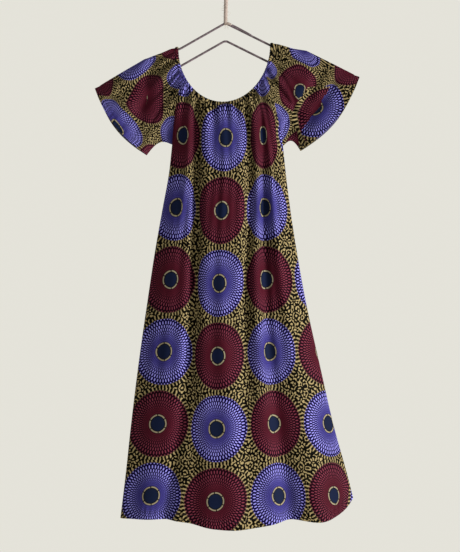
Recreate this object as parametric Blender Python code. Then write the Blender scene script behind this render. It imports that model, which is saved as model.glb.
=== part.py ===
"""Off-shoulder wax print dress on a wrapped wire hanger.

Metres, +Z up. The dress faces -Y and its left in these names is at -X. The origin is the inner
top of the hanger's hook, where a nail or a rod carries everything. Each cloth piece is a thin wall
that follows the cut: front and back panels with raglan edges, two tube sleeves and a gathered
casing. Neighbouring pieces share the points and the mitre of their seam and stay a seam gap apart.
"""

import math

import bmesh
import bpy
import numpy as np

# Cloth
CLOTH = 0.0012
SEAM_GAP = 0.0003
CASING_THICK = 0.0036
CASING_DEPTH = 0.0100

# Hanger wire: two parallel bars bent like a roof and joined by round ends inside the sleeves
APEX_X = -0.0015
APEX_Z = -0.1285
BAR_RADIUS = 0.00275
BAR_SPACING = 0.0460
APEX_FLAT = 0.0040
BAR_BEND = 0.1170
BAR_REACH = 0.2040
ROOF_SLOPE = {-1: math.radians(29.6), 1: math.radians(26.4)}
SHOULDER_SLOPE = {-1: math.radians(20.0), 1: math.radians(13.0)}

# Hook: a question mark of wire wound with twine, its inner top at the origin
HOOK_RADIUS = 0.0042
HOOK_INNER = 0.0180
HOOK_NECK_TOP = -0.0640
HOOK_LOW_ANGLE = math.radians(-50)
HOOK_TIP_ANGLE = math.radians(205)

# Neckline: half ellipses seen from the front, arched over the wire at each shoulder
NECK_X = -0.0045
NECK_HALF = 0.1205
NECK_ARCH = 0.0080
FRONT = -1
BACK = 1
NECK_DROP = {FRONT: 0.1530, BACK: 0.1570}
NECK_DEPTH = {FRONT: 0.0250, BACK: 0.0180}
NECK_SPREAD = {FRONT: 0.25, BACK: 0.15}

# Gathers: two columns of points to each, so that every second column stands proud
SLEEVE_NECK_COLUMNS = 26
PANEL_COLUMNS = 68
SIDE_COLUMNS = 2 * SLEEVE_NECK_COLUMNS + PANEL_COLUMNS
RING_COLUMNS = 2 * SIDE_COLUMNS
CASING_GATHER = 0.0007

# Section of the casing: share of its depth, share of half its thickness, share of the gathers
CASING_SECTION = (
    (0.00, 0.6, 1.0),
    (0.45, 1.0, 1.0),
    (1.00, 0.7, 1.0),
    (1.00, -1.0, 0.0),
    (0.00, -1.0, 0.0),
)

# Underarm points and the control points that curve the raglan seams, by side of the body
UNDERARM = {-1: (-0.1415, 0.0, -0.4467), 1: (0.1493, 0.0, -0.4506)}
RAGLAN_CONTROL = {-1: (-0.1300, -0.3220), 1: (0.1250, -0.3280)}
RAGLAN_DEPTH = {FRONT: 0.0450, BACK: 0.0360}

# How the panels are shaped: powers with which the neckline's curve and its depth fade downwards
# and the hem's curve upwards, how far the columns crowd to the side seams, how much flatter the
# cloth curves over below the underarm, and the share of the way down where the long folds are full
NECK_CURVE_FADE = 4
NECK_DEPTH_FADE = 8
HEM_CURVE_FADE = 3
SIDE_CROWDING = 0.25
CROWN_FLATTENING = 0.3
FOLDS_FULL = 0.06

# Rows of the panels: share of the way down, and the height of the gathers there
PANEL_ROWS = (
    (0.000, 0.0009),
    (0.012, 0.0018),
    (0.030, 0.0019),
    (0.055, 0.0013),
    (0.085, 0.0007),
    (0.120, 0.0000),
    (0.150, 0.0000),
    (0.190, 0.0000),
    (0.240, 0.0000),
    (0.295, 0.0000),
    (0.355, 0.0000),
    (0.415, 0.0000),
    (0.480, 0.0000),
    (0.545, 0.0000),
    (0.610, 0.0000),
    (0.675, 0.0000),
    (0.740, 0.0000),
    (0.805, 0.0000),
    (0.870, 0.0000),
    (0.935, 0.0000),
    (1.000, 0.0000),
)
UNDERARM_ROW = 6
FINE_PANEL_ROWS = 6

# Side seams: height, left x, right x
SIDE_SEAMS = (
    (-0.4467, -0.1415, 0.1493),
    (-0.5210, -0.1496, 0.1569),
    (-0.6120, -0.1661, 0.1682),
    (-0.7230, -0.1858, 0.1852),
    (-0.8520, -0.2054, 0.2083),
    (-1.0270, -0.2303, 0.2468),
    (-1.2000, -0.2513, 0.2869),
    (-1.3070, -0.2628, 0.3170),
    (-1.4240, -0.2769, 0.3460),
)

# Middle of each panel: row share, depth of the front, depth of the back
PANEL_DEPTHS = (
    (0.00, 0.0260, 0.0190),
    (0.05, 0.0340, 0.0250),
    (0.15, 0.0440, 0.0320),
    (0.35, 0.0470, 0.0340),
    (0.70, 0.0520, 0.0370),
    (1.00, 0.0560, 0.0400),
)

# Hem: share of the way across, height at the front, height at the back
HEM = (
    (0.00, -1.424, -1.424),
    (0.15, -1.419, -1.421),
    (0.30, -1.421, -1.424),
    (0.42, -1.434, -1.429),
    (0.56, -1.433, -1.430),
    (0.70, -1.419, -1.424),
    (0.88, -1.417, -1.412),
    (0.95, -1.396, -1.393),
    (1.00, -1.371, -1.371),
)

# Long folds of the skirt, each given at four heights: place across, how far the cloth sinks in
# (a ridge sinks by less than nothing) and half the width of the fold
FOLD_HEIGHTS = (-0.35, -0.61, -0.95, -1.42)
FOLDS = {
    FRONT: (
        {"x": (-0.071, -0.076, -0.094, -0.152), "sink": (0.010, 0.019, 0.013, 0.015),
         "half": (0.012, 0.013, 0.020, 0.030)},
        {"x": (0.058, 0.062, 0.052, 0.040), "sink": (0.010, 0.014, 0.007, 0.000),
         "half": (0.011, 0.012, 0.018, 0.030)},
        {"x": (0.092, 0.100, 0.110, 0.162), "sink": (0.004, 0.015, 0.010, 0.016),
         "half": (0.010, 0.011, 0.020, 0.034)},
        {"x": (0.010, 0.010, 0.000, 0.006), "sink": (0.000, -0.004, -0.006, -0.012),
         "half": (0.050, 0.050, 0.060, 0.070)},
        {"x": (0.120, 0.130, 0.190, 0.246), "sink": (0.000, -0.004, -0.006, -0.010),
         "half": (0.020, 0.022, 0.034, 0.034)},
    ),
    BACK: (
        {"x": (-0.048, -0.054, -0.076, -0.112), "sink": (0.008, 0.013, 0.011, 0.013),
         "half": (0.012, 0.013, 0.021, 0.032)},
        {"x": (0.018, 0.022, 0.030, 0.046), "sink": (0.006, 0.012, 0.010, 0.014),
         "half": (0.012, 0.013, 0.022, 0.034)},
        {"x": (0.070, 0.084, 0.128, 0.196), "sink": (0.006, 0.012, 0.009, 0.012),
         "half": (0.011, 0.012, 0.020, 0.032)},
        {"x": (-0.100, -0.110, -0.150, -0.200), "sink": (0.000, -0.004, -0.005, -0.007),
         "half": (0.022, 0.024, 0.034, 0.036)},
    ),
}

# Sleeves, by side: the cuff's tip and low corner as x and z, how far its edges bow outwards, how
# far the wire lifts the top line, and how far the underarm line arches up
SLEEVES = {
    -1: {"tip": (-0.3432, -0.3003), "corner": (-0.2080, -0.4747), "bow": {FRONT: 0.019, BACK: 0.022},
         "lift": 0.0125, "arch": 0.019},
    1: {"tip": (0.3498, -0.2704), "corner": (0.1955, -0.4635), "bow": {FRONT: 0.022, BACK: 0.024},
        "lift": 0.0165, "arch": 0.020},
}
CUFF_DEPTH = {FRONT: 0.0280, BACK: 0.0230}
CUFF_CROWDING = 0.3
CUFF_ROUNDNESS = 0.65
LIFT_PEAK = 0.38
LIFT_FROM = 0.55
LIFT_FULL = 0.95
ARCH_REACH = 0.30
CREASES_FULL = 0.15
CREASE_ROOM = 0.012

# Rows of the sleeves: share of the way out, and the height of the gathers there
SLEEVE_ROWS = (
    (0.00, 0.0009),
    (0.07, 0.0018),
    (0.16, 0.0014),
    (0.27, 0.0006),
    (0.38, 0.0000),
    (0.51, 0.0000),
    (0.64, 0.0000),
    (0.77, 0.0000),
    (0.89, 0.0000),
    (1.00, 0.0000),
)
FINE_SLEEVE_ROWS = 4

# Creases of the sleeves, as lines seen from the front: side, face, start x and z, end x and z,
# how far the cloth sinks in, half width
CREASES = (
    (-1, FRONT, -0.194, -0.257, -0.226, -0.385, 0.011, 0.019),
    (-1, BACK, -0.190, -0.262, -0.236, -0.372, 0.007, 0.019),
    (1, FRONT, 0.241, -0.275, 0.172, -0.412, 0.010, 0.018),
    (1, FRONT, 0.272, -0.300, 0.206, -0.400, 0.008, 0.016),
    (1, BACK, 0.220, -0.262, 0.186, -0.392, 0.007, 0.019),
)


def smooth_curve(position, stations, values):
    """Read a smooth curve through a short table at one or more positions."""
    stations = np.asarray(stations, float)
    values = np.asarray(values, float)
    if stations[0] > stations[-1]:
        stations = stations[::-1]
        values = values[::-1]
    slopes = np.gradient(values, stations)
    position = np.clip(position, stations[0], stations[-1])
    index = np.clip(np.searchsorted(stations, position) - 1, 0, len(stations) - 2)
    step = stations[index + 1] - stations[index]
    share = (position - stations[index]) / step
    square = share * share
    cube = square * share
    start = (2 * cube - 3 * square + 1) * values[index] + (cube - 2 * square + share) * step * slopes[index]
    end = (3 * square - 2 * cube) * values[index + 1] + (cube - square) * step * slopes[index + 1]
    return start + end


def ease(share):
    """Turn a share of the way into a soft start and stop."""
    share = np.clip(share, 0.0, 1.0)
    return share * share * (3.0 - 2.0 * share)


def unit(vectors):
    """Scale vectors to a length of one."""
    return vectors / np.linalg.norm(vectors, axis=-1, keepdims=True)


def bar_height(x):
    """Height of the upper bar's centre line."""
    side = -1 if x < APEX_X else 1
    run = abs(x - APEX_X)
    steep = min(run, BAR_BEND)
    shallow = max(run - BAR_BEND, 0.0)
    return APEX_Z - steep * math.tan(ROOF_SLOPE[side]) - shallow * math.tan(SHOULDER_SLOPE[side])


def shoulder_height(side):
    """Height of the casing's middle surface where it rides on the upper bar."""
    seat = BAR_RADIUS + SEAM_GAP + CASING_THICK / 2
    return bar_height(NECK_X + side * NECK_HALF) + seat / math.cos(SHOULDER_SLOPE[side])


def neck_point(turn, face):
    """A point of the neckline: turn runs from 0 at the left shoulder to pi at the right one."""
    x = NECK_X - NECK_HALF * math.cos(turn)
    across = (1 - math.cos(turn)) / 2
    top = shoulder_height(-1) * (1 - across) + shoulder_height(1) * across
    drop = NECK_DROP[face] * math.sin(turn)
    arch = NECK_ARCH * math.sqrt(max(0.0, 1 - (1 - min(drop / NECK_ARCH, 1.0)) ** 2))
    y = face * (arch + (NECK_DEPTH[face] - NECK_ARCH) * drop / NECK_DROP[face])
    return (x, y, top - drop)


def half_neckline(face):
    """Evenly spaced points of one half of the neckline, left to right, with their turns."""
    turns = np.linspace(0.0, math.pi, 6001)
    dense = np.array([neck_point(turn, face) for turn in turns])
    lengths = np.concatenate(([0.0], np.cumsum(np.linalg.norm(np.diff(dense, axis=0), axis=1))))
    marks = np.linspace(0.0, lengths[-1], SIDE_COLUMNS + 1)
    points = np.stack([np.interp(marks, lengths, dense[:, axis]) for axis in range(3)], axis=1)
    return points, np.interp(marks, lengths, turns)


def neck_ring():
    """The neckline as a closed ring: its points, the way down the cloth and the way out of it."""
    front, front_turns = half_neckline(FRONT)
    back, back_turns = half_neckline(BACK)
    edge = np.concatenate((front[:-1], back[:0:-1]))
    turns = np.concatenate((front_turns[:-1], back_turns[:0:-1]))
    faces = np.concatenate((np.full(SIDE_COLUMNS, FRONT), np.full(SIDE_COLUMNS, BACK)))
    along = unit(np.roll(edge, -1, axis=0) - np.roll(edge, 1, axis=0))
    down = []
    for turn, face in zip(turns, faces):
        slope = SHOULDER_SLOPE[-1 if turn < math.pi / 2 else 1]
        outward = unit(np.array([-math.cos(turn) / NECK_HALF, -math.sin(turn) / NECK_DROP[face]]))
        sag = math.tan(slope) * math.cos(turn) ** 2
        down.append((outward[0], face * NECK_SPREAD[face] * math.sin(turn), outward[1] - sag))
    down = np.array(down)
    down = unit(down - along * np.sum(down * along, axis=1, keepdims=True))
    return edge, down, unit(np.cross(down, along))


def raglan(side, face, top):
    """The points of one raglan seam, from the neckline's corner down to the underarm."""
    control_x, control_z = RAGLAN_CONTROL[side]
    control = np.array([control_x, face * RAGLAN_DEPTH[face], control_z])
    low = np.array(UNDERARM[side])
    lowest = PANEL_ROWS[UNDERARM_ROW][0]
    points = []
    for share, _ in PANEL_ROWS[:UNDERARM_ROW + 1]:
        way = share / lowest
        points.append((1 - way) ** 2 * top + 2 * way * (1 - way) * control + way ** 2 * low)
    return np.array(points)


def side_seam(side):
    """The points of one side seam, from below the underarm to the hem."""
    table = np.array(SIDE_SEAMS)
    low = PANEL_ROWS[UNDERARM_ROW][0]
    start = UNDERARM[side][2]
    end = HEM[0][1] if side < 0 else HEM[-1][1]
    points = []
    for share, _ in PANEL_ROWS[UNDERARM_ROW + 1:]:
        z = start + (end - start) * (share - low) / (1 - low)
        points.append((float(smooth_curve(z, table[:, 0], table[:, 1 if side < 0 else 2])), 0.0, z))
    return np.array(points)


def fold_sink(x, z, face):
    """How far the long folds pull a panel inwards at places given by x and z."""
    total = np.zeros_like(x)
    for fold in FOLDS[face]:
        place = smooth_curve(z, FOLD_HEIGHTS, fold["x"])
        sink = smooth_curve(z, FOLD_HEIGHTS, fold["sink"])
        half = smooth_curve(z, FOLD_HEIGHTS, fold["half"])
        total += sink * np.exp(-((x - place) / half) ** 2)
    return total


def panel_grid(face, top_row):
    """The middle surface of the front or back panel, rows down and columns left to right."""
    left = np.concatenate((raglan(-1, face, top_row[0]), side_seam(-1)))
    right = np.concatenate((raglan(1, face, top_row[-1]), side_seam(1)))
    across = np.linspace(0.0, 1.0, PANEL_COLUMNS + 1)
    column = 1 if face == FRONT else 2
    hem = np.array(HEM)
    hem_drop = smooth_curve(across, hem[:, 0], hem[:, column])
    hem_drop = hem_drop - (hem_drop[0] * (1 - across) + hem_drop[-1] * across)
    depths = np.array(PANEL_DEPTHS)
    top_line = top_row[0] * (1 - across)[:, None] + top_row[-1] * across[:, None]
    top_across = (top_row[:, 0] - top_row[0, 0]) / (top_row[-1, 0] - top_row[0, 0])
    low_across = (1 - SIDE_CROWDING) * across + SIDE_CROWDING * (1 - np.cos(math.pi * across)) / 2
    bulge = 1 - (2 * across - 1) ** 2
    rows = []
    for index, (share, _) in enumerate(PANEL_ROWS):
        fade = (1 - share) ** NECK_CURVE_FADE
        line = left[index] * (1 - across)[:, None] + right[index] * across[:, None]
        x_share = low_across + (top_across - low_across) * fade
        x = left[index, 0] + (right[index, 0] - left[index, 0]) * x_share
        z = line[:, 2] + (top_row[:, 2] - top_line[:, 2]) * fade + hem_drop * share ** HEM_CURVE_FADE
        middle = float(smooth_curve(share, depths[:, 0], depths[:, column]))
        roundness = 1.0 - CROWN_FLATTENING * ease(share / PANEL_ROWS[UNDERARM_ROW][0])
        crown = np.clip(bulge, 0.0, 1.0) ** roundness
        depth = np.abs(line[:, 1])
        depth = depth + (middle - depth) * crown
        first = np.abs(top_line[:, 1])
        first = first + (depths[0, column] - first) * bulge
        depth = depth + (np.abs(top_row[:, 1]) - first) * (1 - share) ** NECK_DEPTH_FADE
        window = np.sqrt(np.sin(math.pi * across).clip(0.0)) * ease(share / FOLDS_FULL)
        depth = depth - fold_sink(x, z, face) * window
        rows.append(np.stack((x, face * depth, z), axis=1))
    grid = np.array(rows)
    grid[:, 0] = left
    grid[:, -1] = right
    return grid


def crease_sink(points, side, face):
    """How far the creases pull one face of a sleeve inwards."""
    total = np.zeros(points.shape[:-1])
    for row_side, row_face, x0, z0, x1, z1, sink, half in CREASES:
        if (row_side, row_face) != (side, face):
            continue
        run = np.array([x1 - x0, z1 - z0])
        length = np.linalg.norm(run)
        offset = points[..., (0, 2)] - np.array([x0, z0])
        way = offset @ run / length
        away = (offset[..., 0] * run[1] - offset[..., 1] * run[0]) / length
        past = np.maximum(np.maximum(-way, way - length), 0.0)
        total += sink * np.exp(-(away / half) ** 2 - (past / (2 * half)) ** 2)
    return total


def cuff_loop(side, columns):
    """The cuff's edge from its low corner along the front to the tip and back behind."""
    sleeve = SLEEVES[side]
    corner = np.array(sleeve["corner"])
    span = np.array(sleeve["tip"]) - corner
    outward = side * np.array([span[1], -span[0]]) / np.linalg.norm(span)
    points = []
    half = columns // 2
    for column in range(columns):
        face = FRONT if column <= half else BACK
        share = column / half if column <= half else (columns - column) / half
        way = (1 - CUFF_CROWDING) * share + CUFF_CROWDING * (1 - math.cos(math.pi * share)) / 2
        swell = math.sin(math.pi * way)
        x, z = corner + span * way + outward * sleeve["bow"][face] * swell
        points.append((x, face * CUFF_DEPTH[face] * max(swell, 0.0) ** CUFF_ROUNDNESS, z))
    return np.array(points)


def sleeve_grid(side, start_loop):
    """The middle surface of a sleeve, rows from the armhole and neck out to the cuff."""
    columns = len(start_loop)
    cuff = cuff_loop(side, columns)
    half = columns // 2
    order = np.arange(columns)
    height = np.where(order <= half, order / half, (columns - order) / half)
    top_weight = ease((height - LIFT_FROM) / (LIFT_FULL - LIFT_FROM))
    low_weight = ease(1 - height / ARCH_REACH)
    sleeve = SLEEVES[side]
    rows = []
    for share, _ in SLEEVE_ROWS:
        row = start_loop * (1 - share) + cuff * share
        tent = min(share / LIFT_PEAK, (1 - share) / (1 - LIFT_PEAK))
        row[:, 2] += sleeve["lift"] * tent * top_weight
        row[:, 2] += sleeve["arch"] * math.sin(math.pi * share) * low_weight
        room = np.abs(row[:, 1])
        for face in (FRONT, BACK):
            chosen = np.sign(row[:, 1]) == face
            sink = crease_sink(row, side, face) * ease(share / CREASES_FULL) * ease(room / CREASE_ROOM)
            row[:, 1] = np.where(chosen, row[:, 1] - face * sink, row[:, 1])
        rows.append(row)
    return np.array(rows)


def grid_normals(grid, closed, outward):
    """Unit normals of a grid of points; outward is 1 or -1 to make them point out of the cloth."""
    down = np.gradient(grid, axis=0)
    if closed:
        along = np.roll(grid, -1, axis=1) - np.roll(grid, 1, axis=1)
    else:
        along = np.gradient(grid, axis=1)
    return unit(np.cross(down, along) * outward)


def gathered(grid, normals, rows, first, last):
    """Lift every second column between two columns and sink the others, as gathers do."""
    columns = np.arange(grid.shape[1])
    sign = np.where(columns % 2 == 0, 1.0, -1.0)
    sign = np.where((columns > first) & (columns < last), sign, 0.0)
    height = np.array([row[1] for row in rows])
    return grid + normals * (height[:, None] * sign[None, :])[:, :, None]


def skin_triangles(rows, closed):
    """Triangles between rows of point numbers, where a row may hold half as many as the last."""
    triangles = []
    for upper, lower in zip(rows[:-1], rows[1:]):
        segments = len(lower) if closed else len(lower) - 1
        for index in range(segments):
            low_a = lower[index]
            low_b = lower[(index + 1) % len(lower)]
            if len(upper) == len(lower):
                high_a = upper[index]
                high_b = upper[(index + 1) % len(upper)]
                triangles.append((high_a, low_a, low_b))
                triangles.append((high_a, low_b, high_b))
            else:
                high_a = upper[2 * index]
                high_b = upper[2 * index + 1]
                high_c = upper[(2 * index + 2) % len(upper)]
                triangles.append((high_a, low_a, high_b))
                triangles.append((high_b, low_a, low_b))
                triangles.append((high_b, low_b, high_c))
    return triangles


def finish_mesh(name, mesh_bm, colour, roughness):
    """Turn a bmesh into a named object with its own material."""
    bmesh.ops.recalc_face_normals(mesh_bm, faces=mesh_bm.faces)
    mesh = bpy.data.meshes.new(name)
    mesh_bm.to_mesh(mesh)
    mesh_bm.free()
    mesh.shade_smooth()
    mesh.set_sharp_from_angle(angle=math.radians(50))
    obj = bpy.data.objects.new(name, mesh)
    dress.objects.link(obj)
    obj.data.materials.append(plain_material(name, colour, roughness))
    return obj


def plain_material(name, colour, roughness, metallic=0.0):
    """A Principled material with one colour."""
    material = bpy.data.materials.new(name)
    material.use_nodes = True
    shader = material.node_tree.nodes["Principled BSDF"]
    shader.inputs["Base Color"].default_value = (*colour, 1.0)
    shader.inputs["Roughness"].default_value = roughness
    shader.inputs["Metallic"].default_value = metallic
    return material


def cloth_wall(name, grid, normals, fine_rows, closed, colour):
    """A closed wall round a middle surface, with half as many columns after the fine rows."""
    mesh_bm = bmesh.new()
    skins = []
    for offset in (CLOTH / 2, -CLOTH / 2):
        rows = []
        for index in range(grid.shape[0]):
            step = 1 if index < fine_rows else 2
            points = grid[index, ::step] + normals[index, ::step] * offset
            rows.append([mesh_bm.verts.new(point) for point in points])
        skins.append(rows)
    outer, inner = skins
    for triangle in skin_triangles(outer, closed):
        mesh_bm.faces.new(triangle)
    for triangle in skin_triangles(inner, closed):
        mesh_bm.faces.new(triangle[::-1])
    borders = [(outer[0], inner[0]), (outer[-1], inner[-1])]
    if not closed:
        borders.append(([row[0] for row in outer], [row[0] for row in inner]))
        borders.append(([row[-1] for row in outer], [row[-1] for row in inner]))
    for number, (out_line, in_line) in enumerate(borders):
        looped = closed and number < 2
        for triangle in skin_triangles([out_line, in_line], looped):
            mesh_bm.faces.new(triangle)
    return finish_mesh(name, mesh_bm, colour, 0.85)


def casing_wall(edge, down, normal):
    """The gathered casing: a loop of small sections, each a soft tube over the elastic."""
    sign = np.where(np.arange(RING_COLUMNS) % 2 == 0, 1.0, -1.0)
    mesh_bm = bmesh.new()
    rings = []
    for share, out, gathers in CASING_SECTION:
        reach = out * CASING_THICK / 2 + gathers * CASING_GATHER * sign
        points = edge + down * CASING_DEPTH * share + normal * reach[:, None]
        rings.append([mesh_bm.verts.new(point) for point in points])
    for triangle in skin_triangles(rings + rings[:1], True):
        mesh_bm.faces.new(triangle)
    return finish_mesh("neck_casing", mesh_bm, (0.18, 0.13, 0.10), 0.85)


def arc_points(centre, radius, start, end, count):
    """Points on an arc in the plane of the hanger."""
    points = []
    for index in range(count):
        angle = start + (end - start) * index / (count - 1)
        points.append((centre[0] + radius * math.cos(angle), 0.0, centre[1] + radius * math.sin(angle)))
    return points


def wire(name, points, radius, cyclic, colour, roughness):
    """A round wire along points, with filled caps where it is open."""
    curve = bpy.data.curves.new(name, "CURVE")
    curve.dimensions = "3D"
    curve.bevel_depth = radius
    curve.bevel_resolution = 2
    curve.use_fill_caps = True
    curve.twist_mode = "Z_UP"
    spline = curve.splines.new("POLY")
    spline.points.add(len(points) - 1)
    for target, point in zip(spline.points, points):
        target.co = (*point, 1.0)
    spline.use_cyclic_u = cyclic
    obj = bpy.data.objects.new(name, curve)
    dress.objects.link(obj)
    curve.materials.append(plain_material(name, colour, roughness))
    return obj


def hanger_frame():
    """The wrapped wire loop: a roof-shaped upper bar, round ends and a parallel lower bar."""
    spread = (APEX_FLAT, 0.020, 0.045, 0.080, 0.108, BAR_BEND, 0.126, 0.145, 0.175, BAR_REACH)
    upper_left = [(APEX_X - run, 0.0, bar_height(APEX_X - run)) for run in reversed(spread)]
    upper_right = [(APEX_X + run, 0.0, bar_height(APEX_X + run)) for run in spread]
    lower_right = [(x, y, z - BAR_SPACING) for x, y, z in reversed(upper_right)]
    lower_left = [(x, y, z - BAR_SPACING) for x, y, z in reversed(upper_left)]
    turn = BAR_SPACING / 2
    right_end = upper_right[-1]
    left_end = upper_left[0]
    right_arc = arc_points((right_end[0], right_end[2] - turn), turn, math.pi / 2, -math.pi / 2, 9)
    left_arc = arc_points((left_end[0], left_end[2] - turn), turn, -math.pi / 2, -3 * math.pi / 2, 9)
    loop = upper_left + upper_right + right_arc[1:-1] + lower_right + lower_left + left_arc[1:-1]
    return wire("hanger_frame", loop, BAR_RADIUS, True, (0.09, 0.05, 0.06), 0.9)


def hanger_hook():
    """The twine-wound hook, standing on the frame's apex and bent round the origin."""
    bend = HOOK_INNER + HOOK_RADIUS
    centre = (0.0, -HOOK_INNER)
    ring = arc_points(centre, bend, HOOK_LOW_ANGLE, HOOK_TIP_ANGLE, 22)
    foot_z = bar_height(APEX_X + APEX_FLAT) + BAR_RADIUS + SEAM_GAP
    neck = [(APEX_X * (1 - way), 0.0, foot_z + (HOOK_NECK_TOP - foot_z) * way) for way in (0.0, 0.5, 1.0)]
    start = np.array(neck[-1])
    end = np.array(ring[0])
    lead = np.array([0.0, 0.0, 0.014])
    arrive = np.array([-math.sin(HOOK_LOW_ANGLE), 0.0, math.cos(HOOK_LOW_ANGLE)]) * 0.012
    swing = []
    for way in (0.2, 0.4, 0.6, 0.8):
        back = 1 - way
        point = back ** 3 * start + 3 * back ** 2 * way * (start + lead)
        swing.append(tuple(point + 3 * back * way ** 2 * (end - arrive) + way ** 3 * end))
    return wire("hanger_hook", neck + swing + ring, HOOK_RADIUS, False, (0.42, 0.33, 0.22), 0.95)


def build_dress():
    """Make every cloth piece, so that neighbours share the points and mitres of their seams."""
    edge, down, normal = neck_ring()
    yoke = edge + down * (CASING_DEPTH + SEAM_GAP)
    front_left = SLEEVE_NECK_COLUMNS
    front_right = front_left + PANEL_COLUMNS
    shoulder_right = SIDE_COLUMNS
    back_right = shoulder_right + SLEEVE_NECK_COLUMNS
    back_left = back_right + PANEL_COLUMNS
    front_numbers = np.arange(front_left, front_right + 1)
    back_numbers = np.arange(back_left, back_right - 1, -1)
    panels = {}
    panel_normals = {}
    for face, numbers in ((FRONT, front_numbers), (BACK, back_numbers)):
        panels[face] = panel_grid(face, yoke[numbers])
        panel_normals[face] = grid_normals(panels[face], False, -face)
        panel_normals[face][0] = normal[numbers]

    ring_numbers = {
        -1: np.concatenate((np.arange(front_left, -1, -1), np.arange(RING_COLUMNS - 1, back_left - 1, -1))),
        1: np.arange(front_right, back_right + 1),
    }
    for side, column in ((-1, 0), (1, -1)):
        climb = slice(UNDERARM_ROW, 0, -1)
        numbers = ring_numbers[side]
        front_seam = panels[FRONT][climb, column]
        back_seam = panels[BACK][1:UNDERARM_ROW, column]
        loop = np.concatenate((front_seam, yoke[numbers], back_seam))
        grid = sleeve_grid(side, loop)
        normals = grid_normals(grid, True, side)
        normals[0, UNDERARM_ROW:UNDERARM_ROW + len(numbers)] = normal[numbers]
        share_seam_normals(panel_normals, normals, column)
        last = UNDERARM_ROW + len(numbers) - 1
        grid = gathered(grid, normals, SLEEVE_ROWS, UNDERARM_ROW, last)
        seam = list(range(UNDERARM_ROW)) + list(range(UNDERARM_ROW + len(numbers), grid.shape[1]))
        grid[0, seam] += unit(grid[1, seam] - grid[0, seam]) * SEAM_GAP / 2
        name = "sleeve_left" if side < 0 else "sleeve_right"
        cloth_wall(name, grid, normals, FINE_SLEEVE_ROWS, True, (0.22, 0.05, 0.12))

    for face, name in ((FRONT, "front_panel"), (BACK, "back_panel")):
        grid = panels[face]
        normals = panel_normals[face]
        grid = gathered(grid, normals, PANEL_ROWS, 0, PANEL_COLUMNS)
        grid[:, 0] += unit(grid[:, 2] - grid[:, 0]) * SEAM_GAP / 2
        grid[:, -1] += unit(grid[:, -3] - grid[:, -1]) * SEAM_GAP / 2
        cloth_wall(name, grid, normals, FINE_PANEL_ROWS, False, (0.16, 0.13, 0.42))
    casing_wall(edge, down, normal)


def share_seam_normals(panel_normals, sleeve_normals, column):
    """Give both sides of each seam at one underarm the same normals."""
    underarm = sleeve_normals[0, 0] + panel_normals[FRONT][UNDERARM_ROW, column]
    underarm = unit(underarm + panel_normals[BACK][UNDERARM_ROW, column])
    for row in range(1, UNDERARM_ROW):
        for face, index in ((FRONT, UNDERARM_ROW - row), (BACK, -(UNDERARM_ROW - row))):
            both = unit(sleeve_normals[0, index] + panel_normals[face][row, column])
            sleeve_normals[0, index] = both
            panel_normals[face][row, column] = both
    for row in range(UNDERARM_ROW + 1, len(PANEL_ROWS)):
        both = unit(panel_normals[FRONT][row, column] + panel_normals[BACK][row, column])
        panel_normals[FRONT][row, column] = both
        panel_normals[BACK][row, column] = both
    sleeve_normals[0, 0] = underarm
    panel_normals[FRONT][UNDERARM_ROW, column] = underarm
    panel_normals[BACK][UNDERARM_ROW, column] = underarm


for leftover in list(bpy.data.objects):
    bpy.data.objects.remove(leftover, do_unlink=True)
dress = bpy.data.collections.new("wax_print_dress")
bpy.context.scene.collection.children.link(dress)
build_dress()
hanger_frame()
hanger_hook()
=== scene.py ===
"""Looks for the off-shoulder wax print dress on a wrapped wire hanger.

Metres, +Z up, the dress faces -Y and its left in these names is at -X. The cloth pieces follow the
surfaces of the CAD walls at a finer spacing, with gathers, folds, hems, seams and puckers added.
"""

import math

import bpy
import numpy as np
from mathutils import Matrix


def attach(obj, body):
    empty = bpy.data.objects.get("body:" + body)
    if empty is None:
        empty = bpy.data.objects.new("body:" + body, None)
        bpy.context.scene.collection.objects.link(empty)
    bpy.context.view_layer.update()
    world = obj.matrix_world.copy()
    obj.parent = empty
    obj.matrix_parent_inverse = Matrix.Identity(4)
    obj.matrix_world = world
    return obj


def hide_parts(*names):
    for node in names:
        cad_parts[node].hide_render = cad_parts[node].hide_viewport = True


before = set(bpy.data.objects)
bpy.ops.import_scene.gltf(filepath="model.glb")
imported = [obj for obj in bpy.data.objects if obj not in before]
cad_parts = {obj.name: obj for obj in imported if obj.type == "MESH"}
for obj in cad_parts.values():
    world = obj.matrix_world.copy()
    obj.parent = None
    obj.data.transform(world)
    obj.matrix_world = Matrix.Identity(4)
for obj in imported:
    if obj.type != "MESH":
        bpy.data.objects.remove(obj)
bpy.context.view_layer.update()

LEFT = -1
RIGHT = 1
FRONT = -1
BACK = 1

# Camera: its place, and the rows of the picture with the size of a pixel in the hanger's plane
CAMERA_X = 0.0105
CAMERA_Z = -0.7910
CAMERA_DISTANCE = 2.0
IMAGE_ROWS = 552
PIXEL = 0.00262
SENSOR = 36.0

# Hanger wire and neckline, as in the CAD source
SEAM_GAP = 0.0003
CASING_THICK = 0.0036
CASING_DEPTH = 0.0100
APEX_X = -0.0015
APEX_Z = -0.1285
BAR_RADIUS = 0.00275
BAR_SPACING = 0.0460
APEX_FLAT = 0.0040
BAR_BEND = 0.1170
BAR_REACH = 0.2040
BAR_RUNS = (APEX_FLAT, 0.020, 0.045, 0.080, 0.108, BAR_BEND, 0.126, 0.145, 0.175, BAR_REACH)
ROOF_SLOPE = {LEFT: math.radians(29.6), RIGHT: math.radians(26.4)}
SHOULDER_SLOPE = {LEFT: math.radians(20.0), RIGHT: math.radians(13.0)}
HOOK_RADIUS = 0.0042
HOOK_INNER = 0.0180
HOOK_NECK_TOP = -0.0640
HOOK_LOW_ANGLE = math.radians(-50)
HOOK_TIP_ANGLE = math.radians(205)
HOOK_LEAD = 0.014
HOOK_ARRIVE = 0.012
NECK_X = -0.0045
NECK_HALF = 0.1205
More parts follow.
